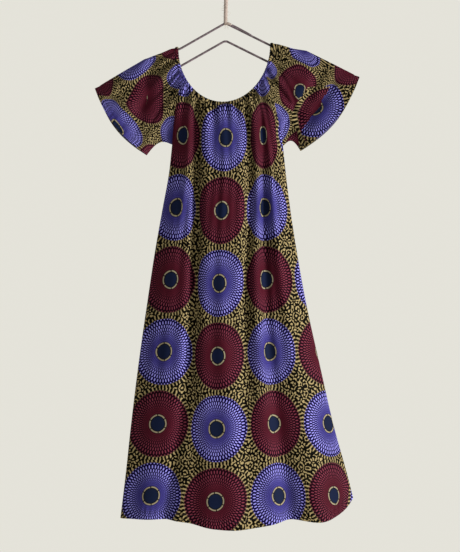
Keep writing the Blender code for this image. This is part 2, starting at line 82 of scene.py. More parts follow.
NECK_ARCH = 0.0080
NECK_DROP = {FRONT: 0.1530, BACK: 0.1570}
NECK_DEPTH = {FRONT: 0.0250, BACK: 0.0180}
NECK_SPREAD = {FRONT: 0.25, BACK: 0.15}

# Columns of the CAD ring, and how many fine columns stand for one of them
SLEEVE_NECK_COLUMNS = 26
PANEL_COLUMNS = 68
SIDE_COLUMNS = 2 * SLEEVE_NECK_COLUMNS + PANEL_COLUMNS
RING_COLUMNS = 2 * SIDE_COLUMNS
UNDERARM_COLUMNS = 6
FINE = 3

# Cut of the panels and sleeves, as in the CAD source
UNDERARM = {LEFT: (-0.1415, 0.0, -0.4467), RIGHT: (0.1493, 0.0, -0.4506)}
RAGLAN_CONTROL = {LEFT: (-0.1300, -0.3220), RIGHT: (0.1250, -0.3280)}
RAGLAN_DEPTH = {FRONT: 0.0450, BACK: 0.0360}
NECK_CURVE_FADE = 4
NECK_DEPTH_FADE = 8
HEM_CURVE_FADE = 3
SIDE_CROWDING = 0.25
CROWN_FLATTENING = 0.3
FOLDS_FULL = 0.06
UNDERARM_SHARE = 0.150
SEAM_SHARES = (0.000, 0.012, 0.030, 0.055, 0.085, 0.120, 0.150)

# Side seams: height, x on the left, x on the right
SIDE_SEAMS = (
    (-0.4467, -0.1415, 0.1493),
    (-0.5210, -0.1496, 0.1569),
    (-0.6120, -0.1661, 0.1682),
    (-0.7230, -0.1858, 0.1852),
    (-0.8520, -0.2054, 0.2083),
    (-1.0270, -0.2303, 0.2468),
    (-1.2000, -0.2513, 0.2869),
    (-1.3070, -0.2628, 0.3170),
    (-1.4240, -0.2769, 0.3460),
)

# Depth of the panels' middle: share of the way down, front, back
PANEL_DEPTHS = (
    (0.00, 0.0260, 0.0190),
    (0.05, 0.0340, 0.0250),
    (0.15, 0.0440, 0.0320),
    (0.35, 0.0470, 0.0340),
    (0.70, 0.0520, 0.0370),
    (1.00, 0.0560, 0.0400),
)

# Height of the hem: share of the way across, front, back
HEM = (
    (0.00, -1.424, -1.424),
    (0.15, -1.419, -1.421),
    (0.30, -1.421, -1.424),
    (0.42, -1.434, -1.429),
    (0.56, -1.433, -1.430),
    (0.70, -1.419, -1.424),
    (0.88, -1.417, -1.412),
    (0.95, -1.396, -1.393),
    (1.00, -1.371, -1.371),
)

# Long folds at four heights: where each runs, how far it sinks in and its half width
FOLD_HEIGHTS = (-0.35, -0.61, -0.95, -1.42)
FOLDS = {
    FRONT: (
        {"x": (-0.071, -0.076, -0.094, -0.152), "sink": (0.010, 0.019, 0.013, 0.015),
         "half": (0.012, 0.013, 0.020, 0.030)},
        {"x": (0.058, 0.062, 0.052, 0.040), "sink": (0.010, 0.014, 0.007, 0.000),
         "half": (0.011, 0.012, 0.018, 0.030)},
        {"x": (0.092, 0.100, 0.110, 0.162), "sink": (0.004, 0.015, 0.010, 0.016),
         "half": (0.010, 0.011, 0.020, 0.034)},
        {"x": (0.010, 0.010, 0.000, 0.006), "sink": (0.000, -0.004, -0.006, -0.012),
         "half": (0.050, 0.050, 0.060, 0.070)},
        {"x": (0.120, 0.130, 0.190, 0.246), "sink": (0.000, -0.004, -0.006, -0.010),
         "half": (0.020, 0.022, 0.034, 0.034)},
    ),
    BACK: (
        {"x": (-0.048, -0.054, -0.076, -0.112), "sink": (0.008, 0.013, 0.011, 0.013),
         "half": (0.012, 0.013, 0.021, 0.032)},
        {"x": (0.018, 0.022, 0.030, 0.046), "sink": (0.006, 0.012, 0.010, 0.014),
         "half": (0.012, 0.013, 0.022, 0.034)},
        {"x": (0.070, 0.084, 0.128, 0.196), "sink": (0.006, 0.012, 0.009, 0.012),
         "half": (0.011, 0.012, 0.020, 0.032)},
        {"x": (-0.100, -0.110, -0.150, -0.200), "sink": (0.000, -0.004, -0.005, -0.007),
         "half": (0.022, 0.024, 0.034, 0.036)},
    ),
}
SLEEVES = {
    LEFT: {"tip": (-0.3432, -0.3003), "corner": (-0.2080, -0.4747), "bow": {FRONT: 0.019, BACK: 0.022},
           "lift": 0.0140, "arch": 0.019},
    RIGHT: {"tip": (0.3498, -0.2704), "corner": (0.1955, -0.4635), "bow": {FRONT: 0.022, BACK: 0.024},
            "lift": 0.0165, "arch": 0.020},
}
CUFF_DEPTH = {FRONT: 0.0280, BACK: 0.0230}
CUFF_CROWDING = 0.3
CUFF_ROUNDNESS = 0.65
LIFT_PEAK = 0.38
LIFT_FROM = 0.55
LIFT_FULL = 0.95
ARCH_REACH = 0.30
CREASES_FULL = 0.15
CREASE_ROOM = 0.012

# Soft creases of the sleeves: side, face, start x and z, end x and z, how far it sinks, half width
CREASES = (
    (LEFT, FRONT, -0.194, -0.257, -0.226, -0.385, 0.011, 0.019),
    (LEFT, BACK, -0.190, -0.262, -0.236, -0.372, 0.007, 0.019),
    (RIGHT, FRONT, 0.241, -0.275, 0.172, -0.412, 0.010, 0.018),
    (RIGHT, FRONT, 0.272, -0.300, 0.206, -0.400, 0.008, 0.016),
    (RIGHT, BACK, 0.220, -0.262, 0.186, -0.392, 0.007, 0.019),
)

# Cloth of the looks: half its thickness, lengths of the pieces and the shares of their fine rows
HALF_CLOTH = 0.0003
PANEL_LENGTH = 1.12
SLEEVE_LENGTH = 0.25
SEAM_ROWS = 45
PANEL_SHARES = np.concatenate((
    np.linspace(0.0, UNDERARM_SHARE, SEAM_ROWS + 1),
    np.linspace(UNDERARM_SHARE, 0.965, 126)[1:],
    np.linspace(0.965, 1.0, 15)[1:],
))
SLEEVE_SHARES = np.concatenate((
    np.linspace(0.0, 0.30, 26),
    np.linspace(0.30, 0.93, 48)[1:],
    np.linspace(0.93, 1.0, 9)[1:],
))
WIRE_ROOM = 0.0037
SHARP_ANGLE = math.radians(60)

# Gathers: crests round the neck, height, how far down they reach, seed
GATHERS = (
    (118, 0.0012, 0.028, 11),
    (61, 0.0022, 0.064, 12),
    (35, 0.0030, 0.115, 13),
    (20, 0.0033, 0.190, 14),
)
GATHER_START = 0.55
GATHER_RISE = 0.012
GATHER_FALL = 1.6
GATHER_SIDES = 2.2

# What makes the gathers uneven: waves so many gathers long, and how much they shift and swell them
PHASE_WAVES = (3.1, 4.7, 7.3, 11.9)
PHASE_SWING = 0.55
STRENGTH_WAVES = ((2.6, 0.25), (5.3, 0.35))

# Hanging waves: count across, height, and the shares of the way down where they start and end
PANEL_WAVES = (
    (17, 0.0007, 0.02, 0.45),
    (11, 0.0012, 0.08, 0.80),
    (7, 0.0017, 0.25, 1.30),
    (4.3, 0.0020, 0.40, 1.30),
)
SLEEVE_WAVES = (
    (13, 0.0006, 0.10, 1.30),
    (8, 0.0011, 0.25, 1.30),
)
WAVE_DRIFT = 1.6
WAVE_BEND = 0.9
WAVE_BREATH = 0.5
WAVE_RISE = 0.12
WAVE_FALL = 0.25
WAVE_REST = 0.2
BEND_ACROSS = 2.3
BREATH_DOWN = 7.0
BREATH_ACROSS = 5.0
FOLD_EXTRA = 0.35
FOLD_NARROW = 0.60

# Seams and hems; a pucker is a height, a spacing, a drift and the run of that drift
SEAM_GROOVE = 0.0006
SEAM_GROOVE_WIDTH = 0.0022
SEAM_CALM = 0.014
SEAM_PUCKER = (0.0004, 0.011, 1.3, 0.037)
HEM_PUCKER = (0.0007, 0.013, 1.7, 0.041)
PUCKER_START = 0.002
PUCKER_REACH = 0.006
HEM_DEPTH = 0.022
CUFF_HEM_DEPTH = 0.012
HEM_FOLD = 0.0005
HEM_EDGE = 0.002
STITCH_SINK = 0.0006
STITCH_LINE = 0.0016

# Casing: gathers, and its section as shares of depth and thickness with the weight of the gathers
CASING_GATHERS = ((118, 0.0006, 21), (61, 0.0004, 12))
CASING_SCALLOP = (118, 0.0004, 21)
SCALLOP_REACH = 0.25
CASING_EDGE_GATHER = 0.8
CASING_BACK_FROM = 8
CASING_PRINT = 0.5
CASING_SECTION = (
    (1.03, 0.17, 0.4), (0.93, 0.25, 0.5), (0.84, 0.62, 1.0), (0.68, 0.92, 1.2), (0.45, 1.00, 1.2),
    (0.24, 0.90, 1.1), (0.09, 0.66, 0.9), (0.00, 0.25, 0.6), (-0.01, -0.25, 0.4), (0.08, -0.62, 0.5),
    (0.24, -0.80, 0.6), (0.50, -0.85, 0.6), (0.78, -0.70, 0.5), (0.93, -0.35, 0.4), (1.03, -0.17, 0.4),
)

# Print: repeat and disc sizes, how its cells go round a disc and shrink, and the rings of the eye
PITCH_U = 0.185
PITCH_V = 0.190
DISC_RADIUS = 0.0885
CELLS_ROUND = 58
RING_RATIO = 0.868
LINE_SPACING = 0.0046
EYE_RADIUS = 0.0190
RIM_RADIUS = 0.0212
RING_RADIUS = 0.0246
OUTLINE_RADIUS = 0.0257
STROKE_SPACING = 0.0089
STROKE_ANGLES = (0.13, 0.61, 1.02, 1.47, 1.95, 2.38, 2.86)
STROKE_STAGGER = 1.9
EDGE_STROKES = 56
DISC_WOBBLE = 0.0030
GROUND_DRIFT = 0.017
INK_EDGE = 0.0004
THREAD_SPACING = 0.0007
PRINT_MAP = "print"
PRINT_TOP = -0.4218
PRINT_ROW = 0.1889
PRINT_SAG = (0.0068, 0.0018)
SAG_HALF = 0.6
BACK_PRINT_SHIFT = (0.30, 0.38)

# Where the half repeats of the print cross each of its rows on the front, seen by the camera
PRINT_COLUMNS = (0.0, 0.5, 1.0, 1.5, 2.0, 2.5, 3.0, 3.5)
PRINT_PLACES = (
    (-0.1087, -0.0676, 0.0013, 0.0608, 0.0969, 0.1323, 0.2200, 0.3125),
    (-0.1271, -0.0755, -0.0105, 0.0537, 0.0983, 0.1638, 0.2405, 0.3330),
    (-0.1428, -0.0791, -0.0183, 0.0519, 0.1022, 0.1774, 0.2455, 0.3380),
    (-0.1611, -0.0865, -0.0223, 0.0524, 0.1127, 0.1847, 0.2515, 0.3440),
    (-0.1782, -0.0948, -0.0262, 0.0616, 0.1231, 0.1996, 0.2686, 0.3415),
    (-0.1965, -0.1127, -0.0275, 0.0603, 0.1389, 0.2127, 0.2843, 0.3223),
)

# Where the print falls on the sleeves, seen by the camera: x, z, print U, print V
SLEEVE_PRINT = {
    LEFT: (
        (-0.2049, -0.3312, 0.0, 0.0),
        (-0.2869, -0.4113, 0.0, 1.0),
        (-0.2489, -0.3694, 0.0, 0.5),
        (-0.2662, -0.3367, -0.3, 0.36),
        (-0.1598, -0.2777, 0.0, -0.5),
        (-0.2227, -0.2686, -0.5, 0.0),
        (-0.2437, -0.2017, -1.0, 0.0),
        (-0.2961, -0.2541, -1.0, 0.5),
        (-0.1886, -0.2044, -1.0, -0.5),
        (-0.3589, -0.2803, -1.0, 1.0),
        (-0.3092, -0.3249, -0.5, 1.0),
        (-0.3275, -0.3380, -0.33, 1.33),
        (-0.1362, -0.1834, -1.0, -1.0),
        (-0.1703, -0.2083, -1.0, -0.52),
        (-0.1362, -0.2306, -0.5, -0.74),
        (-0.1022, -0.2699, 0.0, -0.86),
        (-0.1179, -0.3092, 0.5, -0.76),
        (-0.1258, -0.4323, 1.0, 0.0),
        (-0.1651, -0.3851, 0.5, 0.0),
        (-0.1860, -0.5057, 1.0, 1.0),
        (-0.2201, -0.4506, 0.5, 1.0),
    ),
    RIGHT: (
        (0.1939, -0.2864, -0.133, 0.0),
        (0.1900, -0.3301, 0.133, 0.0),
        (0.1787, -0.3065, 0.0, -0.129),
        (0.2083, -0.2987, -0.03, 0.12),
        (0.2017, -0.2376, -0.5, 0.0),
        (0.2227, -0.2489, -0.52, 0.15),
        (0.2070, -0.1834, -1.0, 0.0),
        (0.2423, -0.2122, -0.86, 0.44),
        (0.2856, -0.2437, -0.82, 0.57),
        (0.3406, -0.2306, -1.0, 1.0),
        (0.2856, -0.2987, -0.427, 1.093),
        (0.3118, -0.2987, -0.515, 1.224),
        (0.3301, -0.2987, -0.577, 1.315),
        (0.2646, -0.2699, -0.52, 0.5),
        (0.1493, -0.3458, 0.5, 0.0),
        (0.1166, -0.3930, 1.0, 0.0),
        (0.1991, -0.4585, 1.0, 1.0),
        (0.0943, -0.2515, 0.0, -1.0),
        (0.1153, -0.2214, -0.5, -0.8),
        (0.1074, -0.2712, 0.5, -0.8),
        (0.1258, -0.1834, -0.62, -0.66),
        (0.1493, -0.1886, -0.66, -0.5),
        (0.0996, -0.2843, 0.52, -0.8),
        (0.1362, -0.2699, 0.0, -0.478),
    ),
}

# Creases that hide some of the sleeves' print, seen by the camera, from the top line downwards
CREASE_TOP = -0.2950
CREASE_TILT = 0.80
RIGHT_CREASES = (
    ((0.2410, -0.2751), (0.2148, -0.2961), (0.2017, -0.3144), (0.1886, -0.3275), (0.1755, -0.3616),
     (0.1703, -0.3878), (0.1860, -0.4087), (0.1913, -0.4506)),
    ((0.2699, -0.2948), (0.2620, -0.3131), (0.2502, -0.3291), (0.2452, -0.3458), (0.2382, -0.3553),
     (0.2300, -0.3634), (0.2180, -0.3794), (0.2096, -0.3896), (0.1991, -0.4035), (0.1970, -0.4200),
     (0.2100, -0.4340), (0.2140, -0.4600)),
)
LEFT_CREASE = ((-0.1782, -0.2672), (-0.2057, -0.3170), (-0.2083, -0.3458), (-0.2148, -0.3956))

# Cloth taken up by the left crease: how much, how far from it and from its middle, and which way
TAKEN_UP = 0.0152
TAKEN_REACH = 0.030
TAKEN_Z = -0.3312
TAKEN_LENGTH = 0.040
TAKEN_WAY = (0.96, -0.27)

# The two discs past the right creases: centre, the ways of U and V, and the size of their repeats
MIDDLE_DISC = (0.2594, -0.3563)
MIDDLE_WAYS = ((-0.10, 1.0), (0.97, -0.12))
MIDDLE_ABOVE = 0.1220
MIDDLE_BELOW = 0.2000
MIDDLE_ACROSS = 0.1420
MIDDLE_LIMIT = -0.0639
MIDDLE_PAST_LIMIT = 0.40
OUTER_DISC = (0.2325, -0.3491)
OUTER_WAYS = ((0.565, 0.825), (0.825, -0.565))
OUTER_SIZES = (0.1677, 0.1650)

# Sharp groove on the right sleeve's front, seen by the camera: depth, half width and line
GROOVE_DEPTH = 0.0050
GROOVE_HALF = 0.0060
GROOVE = ((0.1336, -0.2410), (0.1493, -0.2699), (0.1677, -0.3039), (0.1808, -0.3354), (0.1782, -0.3616),
          (0.1572, -0.3930), (0.1441, -0.4140))

# Wound tubes: spacing of the rings, core radius, height and pitch of the strand, sides and seed
WINDINGS = {
    "yarn_bars": (0.00032, 0.0024, 0.0006, 0.0013, 14, 5),
    "twine_hook": (0.00045, 0.0037, 0.0016, 0.0030, 18, 6),
    "doubled_end": (0.0003, 0.0014, 0.0006, 0.0013, 14, 7),
    "apex_twine": (0.0003, 0.0032, 0.0009, 0.0021, 16, 8),
}

# How a strand's turns drift and its thickness varies: length between draws, spread, spare length
TURN_DRIFT = (0.004, 0.12, 0.02)
STRAND_SWELL = (0.009, 0.06, 0.05)
STRAND_ROUNDNESS = 0.7
TIP_LENGTH = 0.6

# The yarn's doubled end: x and its height over the bar; the turn of twine at the apex: x and z
DOUBLED_END = ((0.0160, 0.0040), (0.0240, 0.0043), (0.0360, 0.0040), (0.0520, 0.0032), (0.0660, 0.0022))
APEX_TWINE = ((-0.0035, -0.1305), (0.0015, -0.1292), (0.0060, -0.1300), (0.0130, -0.1335))

# Stitches: length and gap at the hems and at the casing, and sections of share, width and lift
THREAD_RADIUS = 0.00022
HEM_STITCH = (0.0026, 0.0008)
CASING_STITCH = (0.0024, 0.0006)
STITCH_SIDES = 6
STITCH_PROFILE = ((0.0, 0.15, -0.6), (0.18, 0.9, 0.2), (0.5, 1.0, 0.7), (0.82, 0.9, 0.2), (1.0, 0.15, -0.6))
MEASURED_COLUMN = 100

# Loose fibres of the twine: how many stand off the hook, how many hang at the apex, and their size
HOOK_FIBRES = 150
HOOK_FIBRE_HEIGHTS = (-0.124, -0.010)
HOOK_FIBRE_LENGTHS = (0.002, 0.0070)
HOOK_SKIN = 0.0040
BOW_TOP = -0.050
BOW_HEIGHT = 0.034
APEX_FIBRES = 16
APEX_FIBRE_DROPS = (0.006, 0.016)
FIBRE_RADIUS = 0.00022
FIBRE_SIDES = 5
FIBRE_SPACING = 0.0006


def smooth_curve(position, stations, values):
    """Read a smooth curve through a short table at one or more positions."""
    stations = np.asarray(stations, float)
    values = np.asarray(values, float)
    if stations[0] > stations[-1]:
        stations = stations[::-1]
        values = values[::-1]
    slopes = np.gradient(values, stations)
    position = np.clip(position, stations[0], stations[-1])
    index = np.clip(np.searchsorted(stations, position) - 1, 0, len(stations) - 2)
    step = stations[index + 1] - stations[index]
    share = (position - stations[index]) / step
    square = share * share
    cube = square * share
    start = (2 * cube - 3 * square + 1) * values[index] + (cube - 2 * square + share) * step * slopes[index]
    end = (3 * square - 2 * cube) * values[index + 1] + (cube - square) * step * slopes[index + 1]
    return start + end


def ease(share):
    """Turn a share of the way into a soft start and stop."""
    share = np.clip(share, 0.0, 1.0)
    return share * share * (3.0 - 2.0 * share)


def hill(distance, width):
    """A soft hill of height one round a distance of nought."""
    return np.exp(-(distance / width) ** 2)


def unit(vectors):
    """Scale vectors to a length of one."""
    return vectors / np.linalg.norm(vectors, axis=-1, keepdims=True)


def running_length(points):
    """Length along a line up to each of its points."""
    return np.concatenate(([0.0], np.cumsum(np.linalg.norm(np.diff(points, axis=0), axis=1))))


def read_line(points, lengths, marks):
    """The places on a line at one or more lengths along it."""
    return np.stack([np.interp(marks, lengths, points[:, axis]) for axis in range(3)], axis=-1)


def sample_line(points, spacing):
    """Evenly spaced points along a line, with their lengths along it."""
    points = np.array(points, float)
    lengths = running_length(points)
    marks = np.linspace(0.0, lengths[-1], max(4, int(round(lengths[-1] / spacing))) + 1)
    return read_line(points, lengths, marks), marks


def rounded(points, rounds):
    """Cut the corners of a line so that it bends softly."""
    points = np.array(points, float)
    for _ in range(rounds):
        quarter = points[:-1] * 0.75 + points[1:] * 0.25
        three = points[:-1] * 0.25 + points[1:] * 0.75
        middle = np.stack((quarter, three), axis=1).reshape(-1, 3)
        points = np.vstack((points[:1], middle, points[-1:]))
    return points


def lengths_along(points, axis):
    """Running length of a grid's lines along one axis, from zero."""
    running = np.cumsum(np.linalg.norm(np.diff(points, axis=axis), axis=-1), axis=axis)
    pad = [(0, 0), (0, 0)]
    pad[axis] = (1, 0)
    return np.pad(running, pad)


def bar_height(x):
    """Height of the upper bar's centre line."""
    side = LEFT if x < APEX_X else RIGHT
    run = abs(x - APEX_X)
    steep = min(run, BAR_BEND)
    shallow = max(run - BAR_BEND, 0.0)
    return APEX_Z - steep * math.tan(ROOF_SLOPE[side]) - shallow * math.tan(SHOULDER_SLOPE[side])


def arc_points(centre, radius, start, end, count):
    """Points on an arc in the plane of the hanger."""
    points = []
    for angle in np.linspace(start, end, count):
        points.append((centre[0] + radius * math.cos(angle), 0.0, centre[1] + radius * math.sin(angle)))
    return points


def hanger_loop():
    """The centre line of the hanger's bars, closed."""
    upper_left = [(APEX_X - run, 0.0, bar_height(APEX_X - run)) for run in reversed(BAR_RUNS)]
    upper_right = [(APEX_X + run, 0.0, bar_height(APEX_X + run)) for run in BAR_RUNS]
    lower_right = [(x, y, z - BAR_SPACING) for x, y, z in reversed(upper_right)]
    lower_left = [(x, y, z - BAR_SPACING) for x, y, z in reversed(upper_left)]
    bend = BAR_SPACING / 2
    quarter = math.pi / 2
    right_end = (upper_right[-1][0], upper_right[-1][2] - bend)
    left_end = (upper_left[0][0], upper_left[0][2] - bend)
    right_arc = arc_points(right_end, bend, quarter, -quarter, 15)
    left_arc = arc_points(left_end, bend, -quarter, -3 * quarter, 15)
    return upper_left + upper_right + right_arc[1:-1] + lower_right + lower_left + left_arc[1:]


def hook_line():
    """The centre line of the hook, from its foot on the apex to its tip."""
    ring = arc_points((0.0, -HOOK_INNER), HOOK_INNER + HOOK_RADIUS, HOOK_LOW_ANGLE, HOOK_TIP_ANGLE, 40)
    foot_z = bar_height(APEX_X + APEX_FLAT) + BAR_RADIUS + SEAM_GAP
    neck = [(APEX_X * (1 - way), 0.0, foot_z + (HOOK_NECK_TOP - foot_z) * way) for way in (0.0, 0.5, 1.0)]
    start = np.array(neck[-1])
    end = np.array(ring[0])
    lead = np.array([0.0, 0.0, HOOK_LEAD])
    arrive = np.array([-math.sin(HOOK_LOW_ANGLE), 0.0, math.cos(HOOK_LOW_ANGLE)]) * HOOK_ARRIVE
    swing = []
    for way in np.linspace(0.1, 0.9, 9):
        back = 1 - way
        point = back ** 3 * start + 3 * back ** 2 * way * (start + lead)
        swing.append(tuple(point + 3 * back * way ** 2 * (end - arrive) + way ** 3 * end))
    return neck + swing + ring


def shoulder_height(side):
    """Height of the casing's middle surface where it rides on the upper bar."""
    seat = BAR_RADIUS + SEAM_GAP + CASING_THICK / 2
    return bar_height(NECK_X + side * NECK_HALF) + seat / math.cos(SHOULDER_SLOPE[side])


def neck_point(turn, face):
    """A point of the neckline: turn runs from 0 at the left shoulder to pi at the right one."""
    x = NECK_X - NECK_HALF * math.cos(turn)
    across = (1 - math.cos(turn)) / 2
    top = shoulder_height(LEFT) * (1 - across) + shoulder_height(RIGHT) * across
    drop = NECK_DROP[face] * math.sin(turn)
    arch = NECK_ARCH * math.sqrt(max(0.0, 1 - (1 - min(drop / NECK_ARCH, 1.0)) ** 2))
    y = face * (arch + (NECK_DEPTH[face] - NECK_ARCH) * drop / NECK_DROP[face])
    return (x, y, top - drop)


def half_neckline(face):
    """Evenly spaced points of one half of the neckline, left to right, with their turns."""
    turns = np.linspace(0.0, math.pi, 6001)
    dense = np.array([neck_point(turn, face) for turn in turns])
    lengths = running_length(dense)
    marks = np.linspace(0.0, lengths[-1], SIDE_COLUMNS * FINE + 1)
    return read_line(dense, lengths, marks), np.interp(marks, lengths, turns)


def neck_ring():
    """The neckline as a closed ring: its points, the way down the cloth and the way out of it."""
    front, front_turns = half_neckline(FRONT)
    back, back_turns = half_neckline(BACK)
    edge = np.concatenate((front[:-1], back[:0:-1]))
    turns = np.concatenate((front_turns[:-1], back_turns[:0:-1]))
    faces = np.repeat((FRONT, BACK), SIDE_COLUMNS * FINE)
    along = unit(np.roll(edge, -1, axis=0) - np.roll(edge, 1, axis=0))
    down = []
    for turn, face in zip(turns, faces):
        slope = SHOULDER_SLOPE[LEFT if turn < math.pi / 2 else RIGHT]
        outward = unit(np.array([-math.cos(turn) / NECK_HALF, -math.sin(turn) / NECK_DROP[face]]))
        sag = math.tan(slope) * math.cos(turn) ** 2
        down.append((outward[0], face * NECK_SPREAD[face] * math.sin(turn), outward[1] - sag))
    down = np.array(down)
    down = unit(down - along * np.sum(down * along, axis=1, keepdims=True))
    return edge, down, unit(np.cross(down, along))


def raglan(side, face, top):
    """The points of one raglan seam, from the neckline's corner down to the underarm."""
    control_x, control_z = RAGLAN_CONTROL[side]
    control = np.array([control_x, face * RAGLAN_DEPTH[face], control_z])
    low = np.array(UNDERARM[side])
    way = (PANEL_SHARES[:SEAM_ROWS + 1] / UNDERARM_SHARE)[:, None]
    return (1 - way) ** 2 * top + 2 * way * (1 - way) * control + way ** 2 * low


def side_seam(side):
    """The points of one side seam, from below the underarm to the hem."""
    table = np.array(SIDE_SEAMS)
    start = UNDERARM[side][2]
    end = HEM[0][1] if side == LEFT else HEM[-1][1]
    shares = PANEL_SHARES[SEAM_ROWS + 1:]
    z = start + (end - start) * (shares - UNDERARM_SHARE) / (1 - UNDERARM_SHARE)
    x = smooth_curve(z, table[:, 0], table[:, 1 if side == LEFT else 2])
    return np.stack((x, np.zeros_like(z), z), axis=1)


def fold_parts(x, z, face):
    """How far each long fold sinks at places x and z, the distance from its middle and its half width."""
    for fold in FOLDS[face]:
        place, sink, half = (smooth_curve(z, FOLD_HEIGHTS, fold[part]) for part in ("x", "sink", "half"))
        yield sink, x - place, half


def fold_sink(x, z, face):
    """How far the long folds pull a panel inwards at places given by x and z."""
    return sum(sink * hill(away, half) for sink, away, half in fold_parts(x, z, face))


def deep_fold(x, z, face):
    """How much further the bottoms of the long folds sink in than in the CAD."""
    return sum(FOLD_EXTRA * sink.clip(0.0) * hill(away, FOLD_NARROW * half)
               for sink, away, half in fold_parts(x, z, face))


def panel_grid(face, top_row):
    """The middle surface of the front or back panel, rows down and columns left to right."""
    left = np.concatenate((raglan(LEFT, face, top_row[0]), side_seam(LEFT)))
    right = np.concatenate((raglan(RIGHT, face, top_row[-1]), side_seam(RIGHT)))
    across = np.linspace(0.0, 1.0, PANEL_COLUMNS * FINE + 1)
    column = 1 if face == FRONT else 2
    hem = np.array(HEM)
    hem_drop = smooth_curve(across, hem[:, 0], hem[:, column])
    hem_drop = hem_drop - (hem_drop[0] * (1 - across) + hem_drop[-1] * across)
    depths = np.array(PANEL_DEPTHS)
    top_line = top_row[0] * (1 - across)[:, None] + top_row[-1] * across[:, None]
    top_across = (top_row[:, 0] - top_row[0, 0]) / (top_row[-1, 0] - top_row[0, 0])
    low_across = (1 - SIDE_CROWDING) * across + SIDE_CROWDING * (1 - np.cos(math.pi * across)) / 2
    bulge = 1 - (2 * across - 1) ** 2
    first = np.abs(top_line[:, 1])
    first = first + (depths[0, column] - first) * bulge
    rows = []
    for index, share in enumerate(PANEL_SHARES):
        fade = (1 - share) ** NECK_CURVE_FADE
        line = left[index] * (1 - across)[:, None] + right[index] * across[:, None]
        x_share = low_across + (top_across - low_across) * fade
        x = left[index, 0] + (right[index, 0] - left[index, 0]) * x_share
        z = line[:, 2] + (top_row[:, 2] - top_line[:, 2]) * fade + hem_drop * share ** HEM_CURVE_FADE
        middle = float(smooth_curve(share, depths[:, 0], depths[:, column]))
        roundness = 1.0 - CROWN_FLATTENING * ease(share / UNDERARM_SHARE)
        crown = np.clip(bulge, 0.0, 1.0) ** roundness
        depth = np.abs(line[:, 1])
        depth = depth + (middle - depth) * crown
        depth = depth + (np.abs(top_row[:, 1]) - first) * (1 - share) ** NECK_DEPTH_FADE
        window = np.sqrt(np.sin(math.pi * across).clip(0.0)) * ease(share / FOLDS_FULL)
        depth = depth - fold_sink(x, z, face) * window
        rows.append(np.stack((x, face * depth, z), axis=1))
    grid = np.array(rows)
    grid[:, 0] = left
    grid[:, -1] = right
    return grid


def crease_sink(points, side, face):
    """How far the creases pull one face of a sleeve inwards."""
    total = np.zeros(points.shape[:-1])
    for row_side, row_face, x0, z0, x1, z1, sink, half in CREASES:
        if (row_side, row_face) != (side, face):
            continue
        run = np.array([x1 - x0, z1 - z0])
        length = np.linalg.norm(run)
        offset = points[..., (0, 2)] - np.array([x0, z0])
        way = offset @ run / length
        away = (offset[..., 0] * run[1] - offset[..., 1] * run[0]) / length
        past = np.maximum(np.maximum(-way, way - length), 0.0)
        total += sink * hill(away, half) * hill(past, 2 * half)
    return total


def sleeve_order():
    """Places of a sleeve's fine columns round its loop, counted in CAD columns from the underarm."""
    climb = np.interp(PANEL_SHARES[1:SEAM_ROWS + 1], SEAM_SHARES, np.arange(UNDERARM_COLUMNS, -1, -1))
    neck = UNDERARM_COLUMNS + np.arange(2 * SLEEVE_NECK_COLUMNS * FINE + 1) / FINE
    total = 2 * (UNDERARM_COLUMNS + SLEEVE_NECK_COLUMNS)
    return np.concatenate((climb[::-1], neck, total - climb)), total


def cuff_loop(side, order, total):
    """The cuff's edge from its low corner along the front to the tip and back behind."""
    sleeve = SLEEVES[side]
    corner = np.array(sleeve["corner"])
    span = np.array(sleeve["tip"]) - corner
    outward = side * np.array([span[1], -span[0]]) / np.linalg.norm(span)
    half = total / 2
    points = []
    for place in order:
        face = FRONT if place <= half else BACK
        share = min(place, total - place) / half
        way = (1 - CUFF_CROWDING) * share + CUFF_CROWDING * (1 - math.cos(math.pi * share)) / 2
        swell = math.sin(math.pi * way)
        x, z = corner + span * way + outward * sleeve["bow"][face] * swell
        points.append((x, face * CUFF_DEPTH[face] * max(swell, 0.0) ** CUFF_ROUNDNESS, z))
    return np.array(points)


def sleeve_grid(side, start_loop, order, total):
    """The middle surface of a sleeve, rows from the armhole and neck out to the cuff."""
    cuff = cuff_loop(side, order, total)
    height = np.minimum(order, total - order) / (total / 2)
    top_weight = ease((height - LIFT_FROM) / (LIFT_FULL - LIFT_FROM))
    low_weight = ease(1 - height / ARCH_REACH)
    sleeve = SLEEVES[side]
    rows = []
    for share in SLEEVE_SHARES:
        row = start_loop * (1 - share) + cuff * share
        tent = min(share / LIFT_PEAK, (1 - share) / (1 - LIFT_PEAK))
        row[:, 2] += sleeve["lift"] * tent * top_weight
        row[:, 2] += sleeve["arch"] * math.sin(math.pi * share) * low_weight
        room = np.abs(row[:, 1])
        for face in (FRONT, BACK):
            chosen = np.sign(row[:, 1]) == face
            sink = crease_sink(row, side, face) * ease(share / CREASES_FULL) * ease(room / CREASE_ROOM)
            row[:, 1] = np.where(chosen, row[:, 1] - face * sink, row[:, 1])
        rows.append(row)
    return np.array(rows)


def grid_normals(grid, outward):
    """Unit normals of a grid of points; outward is 1 or -1 to make them point out of the cloth."""
    down = np.gradient(grid, axis=0)
    along = np.gradient(grid, axis=1)
    return unit(np.cross(down, along) * outward)


def share_normals(first, second):
    """Make two lines of normals the same, each halfway between them."""
    both = unit(first + second)
    first[...] = both
    second[...] = both


def ring_wave(place, count, seed):
    """An irregular wave round the neckline with about count crests, from places in CAD columns."""
    random = np.random.default_rng(seed)
    turn = 2 * math.pi * np.asarray(place, float) / RING_COLUMNS

    def slow_wave(length):
        """A wave about so many gathers long, that starts anywhere."""
        return np.sin(max(1, round(count / length)) * turn + random.uniform(0, 2 * math.pi))

    phase = count * turn + sum(PHASE_SWING * slow_wave(length) for length in PHASE_WAVES)
    strength = 1.0 + sum(weight * slow_wave(length) for length, weight in STRENGTH_WAVES)
    return np.sin(phase) * strength


